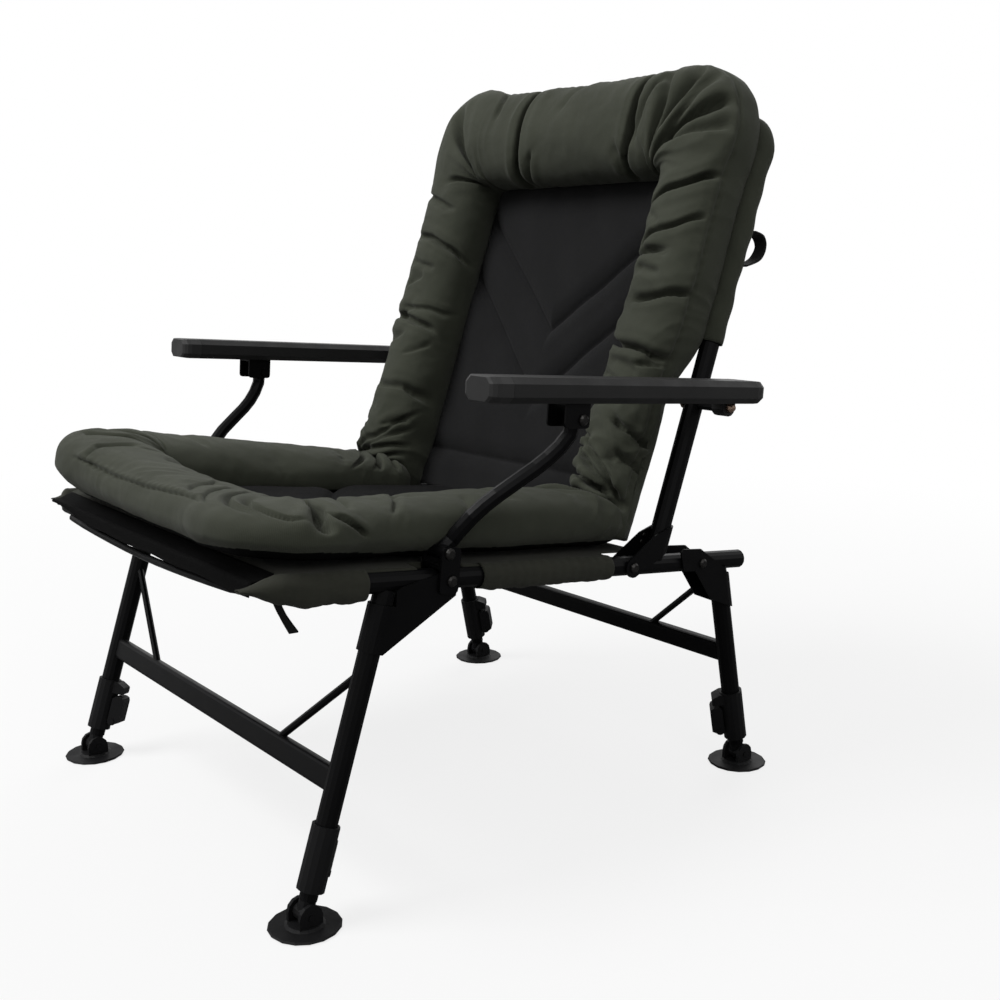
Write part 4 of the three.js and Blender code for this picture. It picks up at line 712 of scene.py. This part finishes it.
def back_sheet():
    """The sling's flat part between the tubes, pulled into shallow folds along its two sides."""
    v, u = np.meshgrid(np.linspace(BACK_SHEET_LOW, HOOD_TOP, 110), np.linspace(-1, 1, 81), indexing="ij")
    half = np.interp(v, *zip(*BACK_SHEET_HALF))
    pull = 0.0014 * np.sin(u * 3 * math.pi + v * 9) * np.exp(-(((1 - np.abs(u)) / 0.25) ** 2))
    local = np.stack([u * half, 0.0008 * np.sin(v * 31) * (1 - u ** 2) + np.maximum(pull, 0), v], -1)
    obj = grid_object("back_sheet", placed(local, BACK), uv=np.stack([u * half, v], -1))
    thicken(obj)
    return obj


back_cloth = join("back_cloth", [back_hood(), back_sheet()])

# ---------------------------------------------------------------- webbing and rivets


def ribbon(name, line, widths, across, where, thickness=0.0018):
    """A strap along a smooth line of points, as wide as given at each; across is its width's direction."""
    line = np.array(line, float)
    at = np.linspace(0, len(line) - 1, 12 * (len(line) - 1) + 1)
    knots = np.arange(len(line))
    dense = np.stack([np.interp(at, knots, line[:, k]) for k in range(3)], 1)
    for _ in range(30):
        dense[1:-1] = dense[1:-1] * 0.5 + (dense[:-2] + dense[2:]) * 0.25
    width = np.interp(at, knots, widths)
    across = np.array(across, float)
    across = across / np.linalg.norm(across)
    u = np.linspace(-1, 1, 7)
    points = dense[:, None, :] + across[None, None, :] * (width[:, None] / 2 * u[None, :])[:, :, None]
    run = np.r_[0, np.cumsum(np.linalg.norm(np.diff(dense, axis=0), axis=1))]
    uv = np.stack(np.broadcast_arrays(run[:, None], (u * widths[0] / 2)[None, :]), -1)
    obj = grid_object(name, placed(points, where), uv=uv)
    thicken(obj, thickness)
    return obj


tie = ribbon(
    "tie_ribbon",
    [(0.234, -0.613, 0.008), (0.234, -0.611, -0.016), (0.235, -0.601, -0.034), (0.236, -0.589, -0.050)],
    [0.0068, 0.0068, 0.0065, 0.0088], (0.62, 0.70, 0.25), DECK, 0.0024,
)
loop = ribbon(
    "webbing_ribbon",
    [(0.2665, 0.0140, 0.352), (0.267, 0.030, 0.3535), (0.268, 0.0395, 0.343), (0.267, 0.036, 0.325),
     (0.266, 0.0145, 0.311)],
    [0.017, 0.017, 0.015, 0.017, 0.017], (1, 0.1, 0.06), BACK,
)

RIVET_FOOT = 0.2546  # just outside the recline bracket's inner plate
RIVET_RADIUS, RIVET_HEIGHT = 0.0024, 0.0013
RIVET_RINGS = [(1.0, 0.0), (1.0, 0.35), (0.86, 0.75), (0.5, 0.97), (0.02, 1.0)]  # shares of the radius and height
RIVET_PLACES = [(0.1460, 0.3149), (0.1421, 0.3077)]


def rivet(name, side, y, z):
    """A low round rivet head beside the recline bracket's inner plate, between its two plates."""
    turn = 2 * math.pi * np.arange(20) / 20
    points = np.array([
        [(r * RIVET_RADIUS * math.cos(t), r * RIVET_RADIUS * math.sin(t), h * RIVET_HEIGHT) for t in turn]
        for r, h in RIVET_RINGS
    ])
    aim = Vector((side, 0, 0)).to_track_quat("Z", "Y").to_matrix()
    points = points @ np.array(aim).T + np.array((side * RIVET_FOOT, y, z))
    rows = np.arange(len(RIVET_RINGS))[:, None] * RIVET_RADIUS
    uv = np.stack(np.broadcast_arrays(rows, (turn * RIVET_RADIUS)[None, :]), -1)
    obj = grid_object(name, points, closed_v=True, uv=uv, caps=True)
    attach(obj, "back")
    return obj


rivets = [
    rivet(f"bracket_rivet_{mark}{k}", side, y, z)
    for side, mark in ((1, "L"), (-1, "R"))
    for k, (y, z) in enumerate(RIVET_PLACES)
]

# ---------------------------------------------------------------- materials


def material(name, colour, roughness, metallic=0.0, sheen=0.0, gloss=0.2):
    """A new node material with its shader set; returns it, its nodes, links and shader."""
    made = bpy.data.materials.new(name)
    made.use_nodes = True
    nodes, links = made.node_tree.nodes, made.node_tree.links
    shader = nodes["Principled BSDF"]
    shader.inputs["Base Color"].default_value = (*colour, 1)
    shader.inputs["Roughness"].default_value = roughness
    shader.inputs["Metallic"].default_value = metallic
    shader.inputs["Sheen Weight"].default_value = sheen
    shader.inputs["Sheen Roughness"].default_value = 0.5
    shader.inputs["Specular IOR Level"].default_value = gloss
    return made, nodes, links, shader


def srgb(*levels):
    """Linear colour of 8-bit screen levels."""
    shares = [v / 255 for v in levels]
    return tuple(s / 12.92 if s <= 0.04045 else ((s + 0.055) / 1.055) ** 2.4 for s in shares)


def noise_node(nodes, links, source, scale, detail=3.0, rough=0.55):
    node = nodes.new("ShaderNodeTexNoise")
    node.inputs["Scale"].default_value = scale
    node.inputs["Detail"].default_value = detail
    node.inputs["Roughness"].default_value = rough
    links.new(source, node.inputs["Vector"])
    return node


def ramp_between(nodes, links, value, low, high, first, second):
    node = nodes.new("ShaderNodeValToRGB")
    node.color_ramp.elements[0].position = low
    node.color_ramp.elements[1].position = high
    node.color_ramp.elements[0].color = (*first, 1)
    node.color_ramp.elements[1].color = (*second, 1)
    links.new(value, node.inputs["Fac"])
    return node


def tint(colour, share):
    return tuple(min(1, c * share) for c in colour)


def bump_chain(nodes, links, shader, layers):
    """Bumps from (value socket, strength, distance), one after another."""
    last = None
    for value, strength, distance in layers:
        bump = nodes.new("ShaderNodeBump")
        bump.inputs["Strength"].default_value = strength
        bump.inputs["Distance"].default_value = distance
        links.new(value, bump.inputs["Height"])
        if last:
            links.new(last.outputs["Normal"], bump.inputs["Normal"])
        last = bump
    links.new(last.outputs["Normal"], shader.inputs["Normal"])


def woven(name, colour, thread=0.0011, sheen=0.15, roughness=0.85, fuzz=0.0, gloss=0.2):
    """Woven cloth: plain weave in the cloth's own map, uneven dye, small creases."""
    made, nodes, links, shader = material(name, colour, roughness, sheen=sheen, gloss=gloss)
    uv = nodes.new("ShaderNodeUVMap")
    uv.uv_map = "cloth"
    place = nodes.new("ShaderNodeTexCoord").outputs["Object"]
    weave = []
    for direction in ("X", "Y"):
        wave = nodes.new("ShaderNodeTexWave")
        wave.bands_direction = direction
        wave.inputs["Scale"].default_value = 0.5 / thread
        wave.inputs["Distortion"].default_value = 0.4
        wave.inputs["Detail"].default_value = 1
        links.new(uv.outputs["UV"], wave.inputs["Vector"])
        weave.append(wave)
    cross = nodes.new("ShaderNodeMath")
    cross.operation = "MULTIPLY"
    links.new(weave[0].outputs["Fac"], cross.inputs[0])
    links.new(weave[1].outputs["Fac"], cross.inputs[1])
    dye = noise_node(nodes, links, place, 9, 4)
    shade = ramp_between(nodes, links, dye.outputs["Fac"], 0.3, 0.7, tint(colour, 0.86), tint(colour, 1.1))
    thread_shade = nodes.new("ShaderNodeMix")
    thread_shade.data_type = "RGBA"
    thread_shade.blend_type = "MULTIPLY"
    thread_shade.inputs["Factor"].default_value = 0.22
    links.new(shade.outputs["Color"], thread_shade.inputs["A"])
    links.new(cross.outputs["Value"], thread_shade.inputs["B"])
    links.new(thread_shade.outputs["Result"], shader.inputs["Base Color"])
    small = noise_node(nodes, links, place, 60, 4)
    layers = [(small.outputs["Fac"], 0.35, 0.002), (cross.outputs["Value"], 0.5, 0.0004)]
    if fuzz:
        nap = noise_node(nodes, links, place, 900, 2)
        layers.append((nap.outputs["Fac"], fuzz, 0.0006))
    bump_chain(nodes, links, shader, layers)
    return made


def hard(name, colour, roughness, metallic=0.0, grain=700, grain_depth=0.1, patch=0.12, gloss=0.2):
    """Paint, plastic or metal: fine grain, uneven gloss and a little variation of tone."""
    made, nodes, links, shader = material(name, colour, roughness, metallic, gloss=gloss)
    place = nodes.new("ShaderNodeTexCoord").outputs["Object"]
    tone = noise_node(nodes, links, place, 14, 4)
    shade = ramp_between(nodes, links, tone.outputs["Fac"], 0.3, 0.7, tint(colour, 1 - patch), tint(colour, 1 + patch))
    links.new(shade.outputs["Color"], shader.inputs["Base Color"])
    wear = noise_node(nodes, links, place, 38, 5)
    smoother, rougher = (roughness * 0.85,) * 3, (min(1, roughness * 1.15),) * 3
    rub = ramp_between(nodes, links, wear.outputs["Fac"], 0.3, 0.7, smoother, rougher)
    links.new(rub.outputs["Color"], shader.inputs["Roughness"])
    fine = noise_node(nodes, links, place, grain, 2)
    bump_chain(nodes, links, shader, [(fine.outputs["Fac"], grain_depth, 0.0003)])
    return made


OLIVE = srgb(66, 69, 58)
CLOTH = woven("olive_cloth", OLIVE, sheen=0.06)
# The seat's sling is the olive cloth made darker: painted shade for the shadow under the seat
SHADED_SLING = woven("sling_cloth_painted_shade", srgb(55, 56, 48), thread=0.0013, sheen=0.04)
FLEECE = woven("panel_fleece", srgb(25, 25, 26), thread=0.0009, sheen=0.03, roughness=0.95, fuzz=0.5)
# The seat's fleece is the panel fleece made darker: painted shade, as the seat's rolls shade it
SHADED_SEAT_FLEECE = woven("seat_fleece_painted_shade", srgb(15, 15, 16), thread=0.0009, sheen=0.02, roughness=0.95, fuzz=0.5, gloss=0.08)
# Near-black cloth: the black hem at the seat's front, and painted shade on the seat roll's lowest faces
BLACK_HEM_AND_PAINTED_SHADE = woven("black_hem_and_painted_shade", srgb(9, 9, 9), thread=0.0012, sheen=0.0, gloss=0.05)
PAINT = hard("frame_paint", srgb(11, 11, 12), 0.36, 0.0, grain=1400, grain_depth=0.12, patch=0.10, gloss=0.07)
STEEL = hard("bolt_steel", srgb(44, 43, 42), 0.30, 0.7, grain=900, grain_depth=0.08)
PLASTIC = hard("moulded_plastic", srgb(17, 17, 18), 0.55, 0.0, grain=1100, grain_depth=0.25, gloss=0.12)
ARMREST = hard("armrest_plastic", srgb(34, 34, 34), 0.55, 0.0, grain=1100, grain_depth=0.25)
CAP = hard("cap_plastic", srgb(44, 44, 44), 0.5, 0.0, grain=900, grain_depth=0.15)
WEBBING = woven("webbing_tape", srgb(24, 24, 24), thread=0.0016, sheen=0.03)
BRASS = hard("nut_steel", srgb(150, 128, 112), 0.34, 0.9, grain=900, grain_depth=0.08)

for name, node in CAD.items():
    if name.startswith("arm_shaft"):
        look = BRASS
    elif "bolt" in name:
        look = STEEL
    elif name in ("tie_strap", "webbing_loop"):
        look = WEBBING
    elif name.startswith("arm_cap"):
        look = CAP
    elif name.startswith("armrest"):
        look = ARMREST
    elif any(word in name for word in ("plug", "collar", "lever", "knuckle", "foot", "spacer")):
        look = PLASTIC
    else:
        look = PAINT
    node.data.materials.clear()
    node.data.materials.append(look)

# The seat's quilt and sling take darker copies of their cloths, as painted shade
for piece, look in (
    (back_roll, CLOTH), (seat_roll, CLOTH), (back_quilt, FLEECE), (seat_quilt, SHADED_SEAT_FLEECE), (seat_cloth, SHADED_SLING),
    (back_cloth, CLOTH), (seat_lip, BLACK_HEM_AND_PAINTED_SHADE), (tie, WEBBING), (loop, WEBBING), *((head, STEEL) for head in rivets),
):
    piece.data.materials.clear()
    piece.data.materials.append(look)

# The seat roll's lowest faces take the near-black cloth as painted shade, up to a height that grows towards the near
# front corner
SHADE_BAND = 0.012
SHADE_BAND_GROWS = 0.007
seat_roll.data.materials.append(BLACK_HEM_AND_PAINTED_SHADE)
corners = coordinates(seat_roll)
lift = (corners - placed((0, 0, 0), DECK)) @ (placed((0, 0, 1), DECK) - placed((0, 0, 0), DECK))
for face in seat_roll.data.polygons:
    centre = sum((corners[v] for v in face.vertices), np.zeros(3)) / len(face.vertices)
    shade_growth = SHADE_BAND_GROWS * float(smooth(0.16, 0.25, centre[0]) * smooth(0.20, 0.30, -centre[1]))
    if lift[list(face.vertices)].mean() < DECK_TOP + SHADE_BAND + shade_growth:
        face.material_index = 1

# ---------------------------------------------------------------- the body each piece moves with, and the CAD part that it hides

for piece, node, body, slot in (
    (back_roll, "back_border", "back", "border_fabric"),
    (back_quilt, "back_panel", "back", "panel_fabric"),
    (back_cloth, "back_sling", "back", "sling_fabric"),
    (seat_roll, "seat_border", "seat", "border_fabric"),
    (seat_quilt, "seat_panel", "seat", "panel_fabric"),
    (seat_cloth, "seat_sling", "seat", "sling_fabric"),
    (tie, "tie_strap", "seat", "webbing"),
    (loop, "webbing_loop", "back", "webbing"),
):
    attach(piece, body)
    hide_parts(node)

# Each cushion gets a mesh of its own; beside it stand the direction out of the face that it lies on and a point on
# that face
out_of_back = Vector(placed((0, -1, 0), BACK) - placed((0, 0, 0), BACK))
out_of_deck = Vector(placed((0, 0, 1), DECK) - placed((0, 0, 0), DECK))
foot_of_back = placed((0, -BACK_FACE, 0), BACK)
foot_of_deck = placed((0, 0, 0.0135), DECK)
for piece, axis, anchor in (
    (back_roll, out_of_back, foot_of_back),
    (back_quilt, out_of_back, foot_of_back),
    (seat_roll, out_of_deck, foot_of_deck),
    (seat_quilt, out_of_deck, foot_of_deck),
):
    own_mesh(piece)
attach(seat_lip, "seat")

# ---------------------------------------------------------------- floor, light and camera

FLOOR_SEEN, FLOOR_LIT = 0.84, 0.24  # the floor's grey to the camera, and as it throws light back on the chair
WHITE_SHARE, WHITE_NEAR, WHITE_FAR = 0.80, 0.55, 2.4  # it turns white to the camera with the distance from the chair
WORLD_LIGHT = 0.37
CAMERA_PLACE = (1.218, -0.8406, 0.6277)
CAMERA_DOWN, CAMERA_ROUND = 11.26, 51.13  # degrees
CAMERA_LENS, CAMERA_SENSOR = 44.45, 36  # millimetres

bpy.ops.mesh.primitive_plane_add(size=60, location=(0, 0, -0.0004))
floor = bpy.context.object
floor.name = "floor"
made, nodes, links, shader = material("floor_white", (FLOOR_SEEN,) * 3, 0.8)
seen_from = nodes.new("ShaderNodeLightPath")
pale = nodes.new("ShaderNodeMix")
pale.data_type = "RGBA"
pale.inputs["A"].default_value = (FLOOR_LIT, FLOOR_LIT, FLOOR_LIT, 1)
pale.inputs["B"].default_value = (FLOOR_SEEN, FLOOR_SEEN, FLOOR_SEEN, 1)
links.new(seen_from.outputs["Is Camera Ray"], pale.inputs["Factor"])
links.new(pale.outputs["Result"], shader.inputs["Base Color"])
far = nodes.new("ShaderNodeVectorMath")
far.operation = "LENGTH"
links.new(nodes.new("ShaderNodeTexCoord").outputs["Object"], far.inputs[0])
fade = nodes.new("ShaderNodeMapRange")
fade.interpolation_type = "SMOOTHSTEP"
fade.inputs["From Min"].default_value = WHITE_NEAR
fade.inputs["From Max"].default_value = WHITE_FAR
fade.inputs["To Min"].default_value = WHITE_SHARE
links.new(far.outputs["Value"], fade.inputs["Value"])
seen = nodes.new("ShaderNodeMath")
seen.operation = "MULTIPLY"
links.new(fade.outputs["Result"], seen.inputs[0])
links.new(seen_from.outputs["Is Camera Ray"], seen.inputs[1])
white = nodes.new("ShaderNodeEmission")
blend = nodes.new("ShaderNodeMixShader")
links.new(seen.outputs["Value"], blend.inputs["Fac"])
links.new(shader.outputs["BSDF"], blend.inputs[1])
links.new(white.outputs["Emission"], blend.inputs[2])
links.new(blend.outputs["Shader"], nodes["Material Output"].inputs["Surface"])
floor.data.materials.append(made)

world = bpy.data.worlds.new("studio")
bpy.context.scene.world = world
world.use_nodes = True
tree = world.node_tree
background = tree.nodes["Background"]
background.inputs["Color"].default_value = (1, 1, 1, 1)
camera_ray = tree.nodes.new("ShaderNodeLightPath")
level = tree.nodes.new("ShaderNodeMapRange")
level.inputs["To Min"].default_value = WORLD_LIGHT
level.inputs["To Max"].default_value = 1.0
seen = camera_ray.outputs["Is Camera Ray"]
for kind in ("Is Glossy Ray", "Is Transmission Ray"):
    either = tree.nodes.new("ShaderNodeMath")
    either.operation = "MAXIMUM"
    tree.links.new(seen, either.inputs[0])
    tree.links.new(camera_ray.outputs[kind], either.inputs[1])
    seen = either.outputs["Value"]
tree.links.new(seen, level.inputs["Value"])
tree.links.new(level.outputs["Result"], background.inputs["Strength"])


def lamp(name, place, target, size, watts):
    light = bpy.data.lights.new(name, "AREA")
    light.size = size
    light.energy = watts
    made = bpy.data.objects.new(name, light)
    bpy.context.scene.collection.objects.link(made)
    made.location = place
    made.rotation_euler = (Vector(target) - Vector(place)).to_track_quat("-Z", "Y").to_euler()


lamp("key", (-1.25, -2.6, 3.8), (0, 0, 0.45), 2.0, 134)
lamp("side", (2.6, -0.8, 2.6), (0, 0, 0.4), 1.2, 13)
lamp("rim", (-1.5, 2.4, 2.4), (0, 0, 0.5), 1.6, 20)

lens = bpy.data.cameras.new("camera")
lens.lens = CAMERA_LENS
lens.sensor_width = CAMERA_SENSOR
camera = bpy.data.objects.new("camera", lens)
bpy.context.scene.collection.objects.link(camera)
camera.location = CAMERA_PLACE
camera.rotation_euler = (math.radians(90 - CAMERA_DOWN), 0, math.radians(CAMERA_ROUND))
bpy.context.scene.camera = camera
bpy.context.scene.view_settings.view_transform = "Standard"
